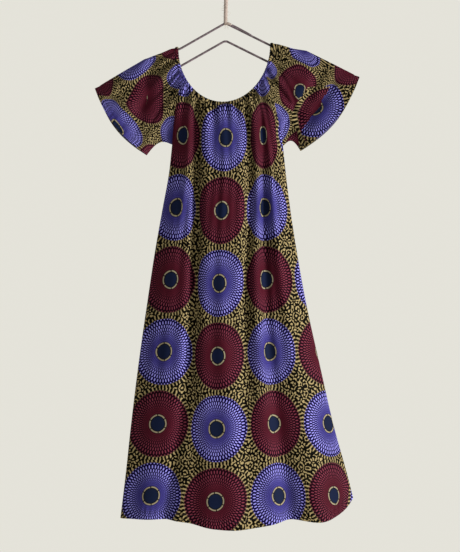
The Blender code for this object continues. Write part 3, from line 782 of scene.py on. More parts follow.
def gathers(place, distance):
    """Height of the gathers at places round the neck and distances down from the casing."""
    start = GATHER_START + (1 - GATHER_START) * ease(distance / GATHER_RISE)
    total = 0.0
    for count, height, reach, seed in GATHERS:
        fade = start * np.exp(-(distance / reach) ** GATHER_FALL)
        total = total + height * fade * ring_wave(place, count, seed)
    return total


def drapery(across, share, waves, seed):
    """Soft upright waves of hanging cloth, each with its own drift, bend and breath."""
    random = np.random.default_rng(seed)
    total = np.zeros(np.broadcast(across, share).shape)
    for count, height, low, high in waves:
        drift = random.uniform(-WAVE_DRIFT, WAVE_DRIFT)
        start = random.uniform(0, 2 * math.pi)
        bend = WAVE_BEND * np.sin(BEND_ACROSS * across * math.pi + random.uniform(0, 6)) + drift * share
        weight = ease((share - low) / WAVE_RISE) * ease((high - share) / WAVE_FALL + WAVE_REST)
        turn = BREATH_DOWN * share + BREATH_ACROSS * across + random.uniform(0, 6)
        breath = 1 + WAVE_BREATH * np.sin(turn)
        total += height * weight * breath * np.sin(2 * math.pi * count * across + start + bend)
    return total


def seam_calm(away):
    """Share of the relief that is left near a seam, from the distance to it."""
    return ease(away / SEAM_CALM)


def pucker_wave(along, height, spacing, drift, run):
    """Puckers along a row of stitches, with a spacing that drifts."""
    return height * np.sin(2 * math.pi * along / spacing + drift * np.sin(along / run))


def seam_groove(away, along):
    """The groove of a seam with its puckers, from the distance to it and the way along it."""
    pucker = pucker_wave(along, *SEAM_PUCKER) * np.exp(-away / PUCKER_REACH) * (1 - hill(away, PUCKER_START))
    return pucker - SEAM_GROOVE * hill(away, SEAM_GROOVE_WIDTH)


def hem_relief(from_edge, depth, along):
    """A turned hem: thicker below its stitch line, which sinks in and puckers."""
    fold = HEM_FOLD * ease((depth - from_edge) / HEM_EDGE)
    pucker = pucker_wave(along, *HEM_PUCKER) * hill(from_edge - depth * 0.8, depth * 0.7)
    return fold - STITCH_SINK * hill(from_edge - depth, STITCH_LINE) + pucker


def panel_relief(face, grid, places):
    """How far each point of a panel stands out from its middle surface."""
    share = PANEL_SHARES[:, None]
    across = np.linspace(0.0, 1.0, grid.shape[1])[None, :]
    way = lengths_along(grid, 1)
    down = lengths_along(grid, 0)
    away = np.minimum(way, way[:, -1:] - way)
    relief = gathers(places, share * PANEL_LENGTH)
    relief = relief + drapery(across, share, PANEL_WAVES, 31 if face == FRONT else 32)
    relief = relief - deep_fold(grid[..., 0], grid[..., 2], face) * ease(share / FOLDS_FULL)
    relief = relief * seam_calm(away)
    relief = relief + seam_groove(away, np.where(across < 0.5, down[:, :1], down[:, -1:]))
    return relief + hem_relief(down[-1:, :] - down, HEM_DEPTH, way) * seam_calm(away * 3)


def seen(points):
    """Where the camera sees points in the plane of the hanger: x and z."""
    nearer = CAMERA_DISTANCE / (points[..., 1] + CAMERA_DISTANCE)
    x = CAMERA_X + (points[..., 0] - CAMERA_X) * nearer
    z = CAMERA_Z + (points[..., 2] - CAMERA_Z) * nearer
    return x, z


def groove_distance(x, z):
    """Distance from places x and z to the sharp groove."""
    nearest = np.full(np.shape(x), 1.0)
    for start, end in zip(np.array(GROOVE)[:-1], np.array(GROOVE)[1:]):
        run = end - start
        way = ((x - start[0]) * run[0] + (z - start[1]) * run[1]) / (run @ run)
        way = np.clip(way, 0.0, 1.0)
        nearest = np.minimum(nearest, np.hypot(x - start[0] - way * run[0], z - start[1] - way * run[1]))
    return nearest


def sleeve_relief(side, grid, order, total, places):
    """How far each point of a sleeve stands out from its middle surface."""
    share = SLEEVE_SHARES[:, None]
    way = lengths_along(grid, 1)
    down = lengths_along(grid, 0)
    first = UNDERARM_COLUMNS
    last = total - UNDERARM_COLUMNS
    neck = ease((order - first) / GATHER_SIDES) * ease((last - order) / GATHER_SIDES)
    relief = gathers(places, share * SLEEVE_LENGTH) * neck
    relief = relief + drapery((order / total)[None, :], share, SLEEVE_WAVES, 41 + side)
    if side == RIGHT:
        groove = GROOVE_DEPTH * hill(groove_distance(*seen(grid)), GROOVE_HALF)
        relief = relief - groove * (order <= total / 2) * ease(share / 0.05)
    on_seam = (order < first) | (order > last)
    edge_way = np.minimum(way, way[:, -1:] - way)
    relief = relief * np.where(on_seam, seam_calm(down), 1.0) * seam_calm(edge_way)
    relief = relief + on_seam * seam_groove(down, way[:1, :])
    return relief + hem_relief(down[-1:, :] - down, CUFF_HEM_DEPTH, way) * seam_calm(edge_way * 2)


def front_print(grid):
    """Print map of the front, row by row: its columns follow the cloth between the places seen."""
    seen_x, seen_z = seen(grid)
    way = lengths_along(grid, 1)
    table = np.array(PRINT_PLACES)
    table = np.vstack((table, 2 * table[-1] - table[-2]))
    rows = np.arange(len(table))
    height = (PRINT_TOP - seen_z) / PRINT_ROW
    level = np.clip(height, 0.0, rows[-1])
    places = np.stack([np.interp(level, rows, column) for column in table.T], axis=-1)
    u = np.zeros(seen_x.shape)
    for row, line_way in enumerate(way):
        line_x = np.maximum.accumulate(seen_x[row]) + np.arange(len(line_way)) * 1e-9
        marks = np.interp(places[row], line_x, line_way)
        marks = marks + np.minimum(places[row] - line_x[0], 0.0) + np.maximum(places[row] - line_x[-1], 0.0)
        for column, stops in enumerate(marks):
            here = line_way[column]
            past = min(here - stops[0], 0.0) + max(here - stops[-1], 0.0)
            u[row, column] = np.interp(here, stops, PRINT_COLUMNS) + past / PITCH_U
    sag = PRINT_SAG[0] + PRINT_SAG[1] * np.maximum(height, 0.0)
    v = height - sag * hill(u - 1, SAG_HALF) / PRINT_ROW
    return np.stack((u, v), axis=-1)


def back_print(grid):
    """Print map of the back, flat along the cloth from its middle."""
    way = lengths_along(grid, 1)
    middle = way[:, way.shape[1] // 2][:, None]
    u = -(way - middle) / PITCH_U + BACK_PRINT_SHIFT[0]
    v = (PRINT_TOP - grid[..., 2]) / PITCH_V + BACK_PRINT_SHIFT[1]
    return np.stack((u, v), axis=-1)


def spread_map(x, z, anchors):
    """A smooth map through anchors: x, z, print U, print V."""
    table = np.array(anchors)
    places = table[:, :2]
    count = len(table)
    system = np.zeros((count + 3, count + 3))
    system[:count, :count] = np.linalg.norm(places[:, None] - places[None, :], axis=-1)
    system[:count, count:] = np.column_stack((np.ones(count), places))
    system[count:, :count] = system[:count, count:].T
    target = np.vstack((table[:, 2:], np.zeros((3, 2))))
    weights = np.linalg.solve(system, target)
    flat = np.stack((np.ravel(x), np.ravel(z)), axis=1)
    basis = np.linalg.norm(flat[:, None] - places[None, :], axis=-1)
    basis = np.column_stack((basis, np.ones(len(flat)), flat))
    return (basis @ weights).reshape(*np.shape(x), 2)


def past_crease(x, z, line):
    """Distance to the right of a crease that runs down, at places x and z."""
    table = np.array(line)[::-1]
    return (x - np.interp(z, table[:, 1], table[:, 0])) * CREASE_TILT


def disc_ways(x, z, centre, ways):
    """Distances from a disc's centre along two ways, at places x and z."""
    return [(x - centre[0]) * way[0] + (z - centre[1]) * way[1] for way in ways]


def right_sleeve_print(x, z):
    """Print maps of the right sleeve's front, where two overlapping creases hide cloth."""
    inner = spread_map(x, z, SLEEVE_PRINT[RIGHT])
    rise, across = disc_ways(x, z, MIDDLE_DISC, MIDDLE_WAYS)
    past_limit = MIDDLE_LIMIT / MIDDLE_ACROSS + (across - MIDDLE_LIMIT) / MIDDLE_PAST_LIMIT
    across = np.where(across > MIDDLE_LIMIT, across / MIDDLE_ACROSS, past_limit)
    middle = np.stack((1 - rise / np.where(rise > 0, MIDDLE_ABOVE, MIDDLE_BELOW), 1 + across), axis=-1)
    rise, across = disc_ways(x, z, OUTER_DISC, OUTER_WAYS)
    outer = np.stack((-rise / OUTER_SIZES[0], 1 + across / OUTER_SIZES[1]), axis=-1)
    past_first = (past_crease(x, z, RIGHT_CREASES[0]) > 0) & (z < CREASE_TOP)
    past_second = past_crease(x, z, RIGHT_CREASES[1]) > 0
    return np.stack((inner, middle, outer)), np.where(past_first, 1 + past_second, 0)


def left_sleeve_print(x, z):
    """Print maps of the left sleeve's front on both sides of the crease that takes up some of it."""
    away = -past_crease(x, z, LEFT_CREASE)
    taken = TAKEN_UP * np.exp(-np.abs(away) / TAKEN_REACH) * hill(z - TAKEN_Z, TAKEN_LENGTH)
    layers = [spread_map(x + shift * TAKEN_WAY[0], z + shift * TAKEN_WAY[1], SLEEVE_PRINT[LEFT])
              for shift in (taken, -taken)]
    return np.stack(layers), np.where(away > 0, 1, 0)


def sleeve_print(side, grid, order, total):
    """Print maps of a whole sleeve: the back goes on from the top line as the front left it."""
    x, z = seen(grid)
    layers, choice = left_sleeve_print(x, z) if side == LEFT else right_sleeve_print(x, z)
    plain = spread_map(x, z, SLEEVE_PRINT[side])
    half = total / 2
    top = int(np.argmin(np.abs(order - half)))
    mirror = np.interp(total - order, order, np.arange(len(order)))
    low = np.floor(mirror).astype(int).clip(0, len(order) - 2)
    share = (mirror - low)[None, :, None]
    mirrored = plain[:, low] * (1 - share) + plain[:, low + 1] * share
    back = (order > half)[None, :]
    layers = np.where(back[..., None], 2 * plain[:, top:top + 1] - mirrored, layers)
    return layers, np.where(back, 0, choice)


def clear_of_wire(points):
    """Push points out of a tube round the hanger's bars."""
    bars, _ = sample_line(hanger_loop(), 0.002)
    flat = points.reshape(-1, 3).copy()
    near = np.nonzero(np.abs(flat[:, 1]) < WIRE_ROOM)[0]
    apart = flat[near][:, None] - bars[None]
    distance = np.linalg.norm(apart, axis=-1)
    nearest = np.argmin(distance, axis=1)
    pick = np.arange(len(near))
    length = distance[pick, nearest]
    moved = bars[nearest] + apart[pick, nearest] * (WIRE_ROOM / np.maximum(length, 1e-5))[:, None]
    flat[near] = np.where((length < WIRE_ROOM)[:, None], moved, flat[near])
    return flat.reshape(points.shape)


def add_mesh(name, points, faces, finishes):
    """A smooth mesh object from points and faces."""
    mesh = bpy.data.meshes.new(name)
    mesh.from_pydata(np.asarray(points).tolist(), [], faces)
    for finish in finishes:
        mesh.materials.append(finish)
    mesh.shade_smooth()
    obj = bpy.data.objects.new(name, mesh)
    bpy.context.scene.collection.objects.link(obj)
    return obj


def add_cloth(name, points, quads, print_map, numbers):
    """A cloth mesh with its print map, and the outside or inside finish on each face."""
    obj = add_mesh(name, points, quads.tolist(), cloth_finishes)
    mesh = obj.data
    mesh.polygons.foreach_set("material_index", np.asarray(numbers, np.int32))
    layer = mesh.uv_layers.new(name=PRINT_MAP)
    layer.data.foreach_set("uv", print_map.astype(np.float32).ravel())
    mesh.set_sharp_from_angle(angle=SHARP_ANGLE)
    mesh.update()
    return obj


def grid_quads(index):
    """Quads between the neighbouring rows and columns of a grid of point numbers."""
    quads = np.stack((index[:-1, :-1], index[1:, :-1], index[1:, 1:], index[:-1, 1:]), axis=-1)
    return quads.reshape(-1, 4)


def closed_grid(index):
    """A grid of point numbers with its first column again after its last."""
    return np.hstack((index, index[:, :1]))


def cloth_piece(name, middle, normals, print_maps, choice, outward):
    """Two layers of a cloth piece with closed rims; choice picks one of the print maps at each point."""
    count = middle.shape[0] * middle.shape[1]
    points = np.vstack((
        (middle + normals * HALF_CLOTH).reshape(-1, 3),
        (middle - normals * HALF_CLOTH).reshape(-1, 3),
    ))
    outer = np.arange(count).reshape(middle.shape[:2])
    around = np.concatenate((outer[0, :-1], outer[:-1, -1], outer[-1, :0:-1], outer[::-1, 0]))
    rim = grid_quads(np.stack((around, around + count)))
    quads = np.vstack((grid_quads(outer), grid_quads(outer + count)[:, ::-1], rim[:, ::-1]))
    numbers = np.zeros(len(quads))
    numbers[(quads >= count).all(axis=1)] = 1
    if outward < 0:
        quads = quads[:, ::-1]
    corners = quads % count
    picked = choice.ravel()[corners[:, :1]]
    return add_cloth(name, points, quads, print_maps.reshape(-1, count, 2)[picked, corners], numbers)


def linear(red, green, blue):
    """A colour from display values of 0 to 255."""
    values = []
    for part in (red, green, blue):
        share = part / 255
        values.append(share / 12.92 if share <= 0.04045 else ((share + 0.055) / 1.055) ** 2.4)
    return (*values, 1.0)


class Number:
    """A shader socket that holds a number, so that maths on it is written as an expression."""

    def __init__(self, finish, socket):
        self.finish = finish
        self.socket = socket

    def __add__(self, other):
        return self.finish.maths("ADD", self, other)

    def __radd__(self, other):
        return self.finish.maths("ADD", other, self)

    def __sub__(self, other):
        return self.finish.maths("SUBTRACT", self, other)

    def __rsub__(self, other):
        return self.finish.maths("SUBTRACT", other, self)

    def __mul__(self, other):
        return self.finish.maths("MULTIPLY", self, other)

    def __rmul__(self, other):
        return self.finish.maths("MULTIPLY", other, self)

    def __truediv__(self, other):
        return self.finish.maths("DIVIDE", self, other)

    def __gt__(self, other):
        return self.finish.maths("GREATER_THAN", self, other)


class Finish:
    """A material under construction, with the Principled shader's own sockets set plainly."""

    def __init__(self, name, **sockets):
        self.material = bpy.data.materials.new(name)
        self.material.use_nodes = True
        self.tree = self.material.node_tree
        self.shader = self.tree.nodes["Principled BSDF"]
        for socket, value in sockets.items():
            self.shader.inputs[socket.replace("_", " ")].default_value = value

    def feed(self, socket, value):
        """Give a socket a value, or link another socket to it."""
        if isinstance(value, Number):
            value = value.socket
        if isinstance(value, bpy.types.NodeSocket):
            self.tree.links.new(value, socket)
        else:
            socket.default_value = value

    def node(self, kind, settings, sockets):
        """Add a node: its settings first, then the values or links of its sockets."""
        made = self.tree.nodes.new("ShaderNode" + kind)
        for setting, value in settings.items():
            setattr(made, setting, value)
        for socket, value in sockets.items():
            self.feed(made.inputs[socket], value)
        return made

    def maths(self, operation, *values):
        """A Math node on one, two or three values."""
        made = self.node("Math", {"operation": operation}, dict(enumerate(values)))
        return Number(self, made.outputs[0])

    def step(self, value, low, high):
        """A soft step from 0 at low to 1 at high."""
        sockets = {"Value": value, "From Min": low, "From Max": high}
        made = self.node("MapRange", {"interpolation_type": "SMOOTHSTEP"}, sockets)
        return Number(self, made.outputs[0])

    def mix(self, share, first, second, blend="MIX"):
        """Mix two colours."""
        settings = {"data_type": "RGBA", "blend_type": blend}
        return self.node("Mix", settings, {0: share, 6: first, 7: second}).outputs[2]

    def place(self):
        """The piece's own Object coordinates."""
        return self.node("TexCoord", {}, {}).outputs["Object"]

    def noise(self, vector, scale, detail=2.0, roughness=0.5):
        """A noise number of about 0 to 1."""
        sockets = {"Vector": vector, "Scale": scale, "Detail": detail, "Roughness": roughness}
        return Number(self, self.node("TexNoise", {}, sockets).outputs[0])

    def wear(self, colour, roughness, height, strength, distance):
        """Feed the shader's colour, roughness and a bump."""
        self.feed(self.shader.inputs["Base Color"], colour)
        self.feed(self.shader.inputs["Roughness"], roughness)
        sockets = {"Height": height, "Strength": strength, "Distance": distance}
        bump = self.node("Bump", {}, sockets)
        self.feed(self.shader.inputs["Normal"], bump.outputs[0])
        return self.material


def disc_ink(finish, radius, around, blue):
    """The discs' colour: rings of staggered cells that shrink towards the eye, and fine lines there."""
    depth = finish.maths("LOGARITHM", finish.maths("MAXIMUM", radius, 0.004) / DISC_RADIUS, RING_RATIO)
    across = finish.maths("COSINE", depth * math.pi)
    cells = finish.step(around * across + finish.step(radius, 0.060, DISC_RADIUS) * 0.20, -0.26, -0.10)
    lines = finish.maths("COSINE", radius * (2 * math.pi / LINE_SPACING))
    outer_part = finish.step(radius, 0.030, 0.052)
    fine = finish.step(lines, -0.9, 0.5) * (1 - outer_part) * 0.70
    marks = finish.maths("MAXIMUM", cells * (outer_part * 0.35 + 0.65), fine)
    light = finish.mix(blue, linear(110, 46, 62), linear(134, 130, 212))
    inner = finish.mix(blue, linear(92, 27, 42), linear(76, 71, 152))
    dark = finish.mix(blue, linear(22, 0, 10), linear(6, 0, 48))
    return finish.mix(marks, finish.mix(finish.step(radius, 0.030, 0.070), inner, light), dark)


def ground_ink(finish, cloth, u, v, radius, angle, wobble):
    """The ground's colour: short black strokes that turn every way, and point outwards at the discs."""
    x = u * PITCH_U + (finish.noise(cloth, 11.0, 1.0) - 0.5) * GROUND_DRIFT
    y = v * PITCH_V + (finish.noise(cloth, 13.0, 1.0) - 0.5) * GROUND_DRIFT
    push = 2 * math.pi / STROKE_SPACING
    strokes = 0.0
    for index, turn in enumerate(STROKE_ANGLES):
        wave = x * (push * math.cos(turn)) + y * (push * math.sin(turn)) + index * STROKE_STAGGER
        strokes = finish.maths("SINE", wave) + strokes
    spokes = finish.maths("COSINE", angle * EDGE_STROKES + (wobble - 0.5) * 6.0)
    near_disc = 1 - finish.step(radius, DISC_RADIUS + 0.005, DISC_RADIUS + 0.013)
    strokes = strokes * 0.45 * (1 - near_disc * 0.8) + spokes * near_disc
    broken = finish.noise(cloth, 19.0, 1.0) - 0.5
    black = finish.step(strokes + broken * 1.2, -0.56, -0.30)
    return finish.mix(black, linear(146, 130, 92), linear(4, 3, 0))


def wax_print(name, wash):
    """The disc print, worked out from the print map; wash is how far the colours are bleached."""
    finish = Finish(name, Specular_IOR_Level=0.03)
    cloth = finish.node("UVMap", {"uv_map": PRINT_MAP}, {}).outputs[0]
    parts = finish.node("SeparateXYZ", {}, {0: cloth})
    u = Number(finish, parts.outputs[0])
    v = Number(finish, parts.outputs[1])
    wobble = finish.noise(cloth, 5.5, 2.0)
    cell_u = finish.maths("ROUND", u)
    cell_v = finish.maths("ROUND", v)
    x = (u - cell_u) * PITCH_U + (wobble - 0.5) * DISC_WOBBLE
    y = (v - cell_v) * PITCH_V + (finish.noise(cloth, 7.0, 2.0) - 0.5) * DISC_WOBBLE
    radius = finish.maths("SQRT", x * x + y * y)
    angle = finish.maths("ARCTAN2", y, x)
    blue = finish.maths("FRACT", (cell_u + cell_v) * 0.5 + 10.0) > 0.25
    around = finish.maths("COSINE", angle * CELLS_ROUND)
    edge = DISC_RADIUS - 0.0009 + around * 0.0009

    def within(limit, softness):
        """One inside a radius and nought outside it, with a soft edge."""
        return finish.step(limit - radius, -softness, softness)

    ground = ground_ink(finish, cloth, u, v, radius, angle, wobble)
    colour = finish.mix(within(edge, 0.0005), ground, disc_ink(finish, radius, around, blue))
    trim = 1 - finish.step(finish.maths("ABSOLUTE", radius - (edge + 0.0008)), 0.0004, 0.0014)
    colour = finish.mix(trim * 0.35, colour, linear(116, 100, 74))
    colour = finish.mix(within(OUTLINE_RADIUS, INK_EDGE), colour, linear(8, 7, 12))
    dashes = finish.step(finish.maths("COSINE", angle * 6 + 0.7), -0.97, -0.88)
    colour = finish.mix(within(RING_RADIUS, INK_EDGE) * dashes, colour, linear(138, 128, 106))
    colour = finish.mix(within(RIM_RADIUS, INK_EDGE), colour, linear(8, 9, 7))
    colour = finish.mix(within(EYE_RADIUS, 0.0015), colour, linear(15, 23, 48))

    blotch = finish.noise(finish.place(), 26.0, 4.0, 0.6)
    shades = {0: blotch * 0.26 + 0.62, 1: blotch * 0.26 + 0.62, 2: blotch * 0.24 + 0.62}
    colour = finish.mix(1.0, colour, finish.node("CombineColor", {}, shades).outputs[0], "MULTIPLY")
    if wash:
        colour = finish.mix(wash, colour, linear(84, 78, 68))
    threads = 2 * math.pi / THREAD_SPACING
    weave = finish.maths("SINE", u * (PITCH_U * threads)) * finish.maths("SINE", v * (PITCH_V * threads))
    height = weave * 0.5 + finish.noise(cloth, 90.0, 3.0)
    return finish.wear(colour, blotch * 0.12 + 0.66, height, 0.16, 0.0003)


def yarn_finish():
    """Mottled dark purple-brown yarn."""
    finish = Finish("yarn_wrap", Sheen_Weight=0.35, Sheen_Roughness=0.6, Specular_IOR_Level=0.25)
    patches = finish.noise(finish.place(), 140.0, 3.0, 0.6)
    flecks = finish.noise(finish.place(), 900.0, 2.0, 0.6)
    colour = finish.mix(finish.step(patches, 0.35, 0.66), linear(46, 31, 38), linear(86, 69, 77))
    colour = finish.mix(finish.step(flecks, 0.58, 0.72) * 0.5, colour, linear(118, 106, 106))
    return finish.wear(colour, flecks * 0.2 + 0.75, flecks, 0.5, 0.0006)


def twine_finish():
    """Pale jute twine with darker fibres."""
    finish = Finish("twine_wrap", Sheen_Weight=0.25, Sheen_Roughness=0.6, Specular_IOR_Level=0.25)
    squeeze = {"Vector": finish.place(), "Scale": (1.0, 1.0, 4.0)}
    fibres = finish.noise(finish.node("Mapping", {}, squeeze).outputs[0], 420.0, 4.0, 0.65)
    patches = finish.noise(finish.place(), 60.0, 2.0)
    colour = finish.mix(finish.step(fibres, 0.30, 0.70), linear(112, 98, 92), linear(164, 150, 142))
    colour = finish.mix(finish.step(patches, 0.5, 0.8) * 0.5, colour, linear(140, 124, 110))
    return finish.wear(colour, fibres * 0.15 + 0.78, fibres, 0.6, 0.0006)


def drifting_finish(name, specular, grain, detail, dark, light, roughness, strength, distance):
    """A finish that drifts between two colours, with a grain that also roughens and raises it."""
    finish = Finish(name, Specular_IOR_Level=specular)
    tone = finish.noise(finish.place(), grain, detail)
    colour = finish.mix(tone, linear(*dark), linear(*light))
    return finish.wear(colour, tone * 0.1 + roughness, tone, strength, distance)


def wound_tube(name, line, finish, closed=False):
    """A wire in the plane of the hanger with a strand wound tightly round it."""
    spacing, core, strand, pitch, sides, seed = WINDINGS[name]
    random = np.random.default_rng(seed)
    points, marks = sample_line(line, spacing)
    if closed:
        points = points[:-1]
        marks = marks[:-1]
        along = unit(np.roll(points, -1, axis=0) - np.roll(points, 1, axis=0))
    else:
        along = unit(np.gradient(points, axis=0))
    side = np.array([0.0, 1.0, 0.0])
    up = np.cross(along, side)
    angles = np.linspace(0.0, 2 * math.pi, sides, endpoint=False)
    gap, spread, spare = TURN_DRIFT
    knots = np.arange(0, marks[-1] + spare, gap)
    drift = np.interp(marks, knots, np.cumsum(random.normal(0.0, spread, len(knots))))
    gap, spread, spare = STRAND_SWELL
    knots = np.arange(0, marks[-1] + spare, gap)
    swell = np.interp(marks, knots, random.normal(0.0, spread, len(knots)))
    turns = marks[:, None] / pitch + drift[:, None] - angles[None, :] / (2 * math.pi)
    reach = core + strand * (np.abs(np.sin(math.pi * turns)) ** STRAND_ROUNDNESS + swell[:, None])
    around = np.cos(angles)[None, :, None] * up[:, None, :] + np.sin(angles)[None, :, None] * side
    rings = (points[:, None, :] + reach[..., None] * around).reshape(-1, 3)
    index = closed_grid(np.arange(len(rings)).reshape(len(points), sides))
    if closed:
        return add_mesh(name, rings, grid_quads(np.vstack((index, index[:1]))).tolist(), [finish])
    tips = (points[0] - along[0] * core * TIP_LENGTH, points[-1] + along[-1] * core * TIP_LENGTH)
    faces = grid_quads(index).tolist()
    first_tip = len(rings)
    for column in range(sides):
        faces.append([index[0, column], index[0, column + 1], first_tip])
        faces.append([index[-1, column + 1], index[-1, column], first_tip + 1])
    return add_mesh(name, np.vstack((rings, tips)), faces, [finish])


def add_cords(name, cords, sides, finish):
    """Closed cords, each a list of rings: a centre and two spokes across the cord."""
    points = []
    faces = []
    turns = [2 * math.pi * number / sides for number in range(sides)]
    for rings in cords:
        start = len(points)
        for centre, first, second in rings:
            points += [centre + first * math.cos(turn) + second * math.sin(turn) for turn in turns]
        index = np.arange(start, len(points)).reshape(-1, sides)
        faces += grid_quads(closed_grid(index))[:, ::-1].tolist()
        faces += [index[0, ::-1].tolist(), index[-1].tolist()]
    return add_mesh(name, points, faces, [finish])


def stitches(name, line, normals, pattern, finish):
    """A row of stitches laid on a line, each a small spindle that dips at its ends."""
    length, gap = pattern
    line = np.asarray(line, float)
    lengths = running_length(line)
    cords = []
    for start in np.arange(gap, lengths[-1] - length, length + gap):
        rings = []
        for way, width, lift in STITCH_PROFILE:
            mark = start + length * way
            out = unit(read_line(normals, lengths, mark)) * THREAD_RADIUS
            ahead = read_line(line, lengths, mark + 0.0005) - read_line(line, lengths, mark - 0.0005)
            side = unit(np.cross(out, ahead)) * THREAD_RADIUS
            rings.append((read_line(line, lengths, mark) + out * lift, side * width, out * width))
        cords.append(rings)
    return add_cords(name, cords, STITCH_SIDES, finish)


def fibre_lines():
    """Fibres that stand off the hook's twine, and the frayed tail at the apex."""
    random = np.random.default_rng(9)
    lines = []
    for height in np.linspace(*HOOK_FIBRE_HEIGHTS, HOOK_FIBRES):
        turn = random.uniform(0, 2 * math.pi)
        out = np.array([math.cos(turn), math.sin(turn), 0.0])
        start = np.array([0.0, 0.0, height]) + out * HOOK_SKIN
        if height > BOW_TOP:
            bow = math.sqrt(max(0.0, 1 - ((height + HOOK_INNER) / BOW_HEIGHT) ** 2))
            start[0] += (HOOK_INNER + HOOK_RADIUS) * bow
        length = random.uniform(*HOOK_FIBRE_LENGTHS)
        bend = random.normal(0.0, 0.0015, 3)
        lines.append([start, start + out * length * 0.5 + bend, start + out * length * 0.8 + bend * 2.2])
    for _ in range(APEX_FIBRES):
        start = np.array([random.uniform(-0.004, 0.006), -0.0038, -0.1305 + random.uniform(-0.002, 0.002)])
        drop = random.uniform(*APEX_FIBRE_DROPS)
        middle = start + np.array([random.normal(0.0, 0.002), -0.001, -drop * 0.5])
        lines.append([start, middle, middle + np.array([random.normal(0.0, 0.0025), 0.002, -drop * 0.5])])
    return lines


def fibre_rings(line):
    """Rings of one loose fibre, which bends and narrows to a tip."""
    centres, marks = sample_line(rounded(line, 2), FIBRE_SPACING)
    along = unit(np.gradient(centres, axis=0))
    across = unit(np.cross(along, np.array([0.31, 0.87, 0.38])))
    other = np.cross(along, across)
    widths = (FIBRE_RADIUS * (1.0 - 0.75 * marks / marks[-1]))[:, None]
    return list(zip(centres, across * widths, other * widths))


cloth_finishes = [wax_print("wax_print_outside", 0.0), wax_print("wax_print_inside", 0.32)]

# Shapes of the panels and sleeves, keyed by piece; the ring numbers are their columns at the neck
edge, down, normal = neck_ring()
yoke = edge + down * (CASING_DEPTH + SEAM_GAP)
ring_total = RING_COLUMNS * FINE
ring_places = np.arange(ring_total) / FINE
front_left = SLEEVE_NECK_COLUMNS * FINE
front_right = front_left + PANEL_COLUMNS * FINE
back_right = front_right + 2 * SLEEVE_NECK_COLUMNS * FINE
back_left = back_right + PANEL_COLUMNS * FINE
ring_numbers = {
    "front": np.arange(front_left, front_right + 1),
    "back": np.arange(back_left, back_right - 1, -1),
    "left": np.arange(front_left, back_left - 1 - ring_total, -1) % ring_total,
    "right": np.arange(front_right, back_right + 1),
}
PANEL_FACES = {"front": FRONT, "back": BACK}
SLEEVE_SIDES = {"left": LEFT, "right": RIGHT}
grids = {}
normals = {}
reliefs = {}
for key, face in PANEL_FACES.items():
    ring = ring_numbers[key]
    grids[key] = panel_grid(face, yoke[ring])
    normals[key] = grid_normals(grids[key], -face)
    normals[key][0] = normal[ring]
    reliefs[key] = panel_relief(face, grids[key], ring_places[ring])

order, loop_total = sleeve_order()
climb = slice(SEAM_ROWS, 0, -1)
descent = slice(1, SEAM_ROWS + 1)
neck_part = slice(SEAM_ROWS, -SEAM_ROWS)
for key, side in SLEEVE_SIDES.items():
    column = 0 if side == LEFT else -1
    ring = ring_numbers[key]
    loop = np.concatenate((grids["front"][climb, column], yoke[ring], grids["back"][descent, column]))
    grids[key] = sleeve_grid(side, loop, order, loop_total)
    normals[key] = grid_normals(grids[key], side)
    normals[key][0, neck_part] = normal[ring]
    share_normals(normals[key][0, :SEAM_ROWS], normals["front"][climb, column])
    share_normals(normals[key][0, -SEAM_ROWS:], normals["back"][descent, column])
    share_normals(normals[key][:, 0], normals[key][:, -1])
    places = np.pad(ring_places[ring], SEAM_ROWS, mode="edge")
    reliefs[key] = sleeve_relief(side, grids[key], order, loop_total, places)
    reliefs[key][0, :SEAM_ROWS] = reliefs["front"][climb, column]
    reliefs[key][0, -SEAM_ROWS:] = reliefs["back"][descent, column]
    below = slice(SEAM_ROWS + 1, None)
    share_normals(normals["front"][below, column], normals["back"][below, column])

pieces = {}
maps = {"front": front_print(grids["front"]), "back": back_print(grids["back"])}
cloths = {key: grids[key] + normals[key] * reliefs[key][..., None] for key in grids}
for key, face in PANEL_FACES.items():
    name = key + "_cloth"
    choice = np.zeros(cloths[key].shape[:2], int)
    pieces[name] = cloth_piece(name, cloths[key], normals[key], maps[key], choice, -face)
for key, side in SLEEVE_SIDES.items():
    name = key + "_sleeve_cloth"
    layers, choice = sleeve_print(side, grids[key], order, loop_total)
    maps[key] = layers[0]
    cloths[key][2:] = clear_of_wire(cloths[key][2:])
    pieces[name] = cloth_piece(name, cloths[key], normals[key], layers, choice, side)


def casing_rings():
    """The gathered casing's rings: a soft tube over the elastic."""
    crests = sum(height * ring_wave(ring_places, count, seed) for count, height, seed in CASING_GATHERS)
    count, height, seed = CASING_SCALLOP
    scallop = height * ring_wave(ring_places, count, seed)
    rings = []
    for share, out, weight in CASING_SECTION:
        rise = gathers(ring_places, 0.0) * CASING_EDGE_GATHER if share > 1 else weight * crests
        reach = out * CASING_THICK / 2 + rise
        drop = CASING_DEPTH * share + scallop * hill(share, SCALLOP_REACH)
        rings.append(edge + down * drop[:, None] + normal * reach[:, None])
    return np.array(rings)


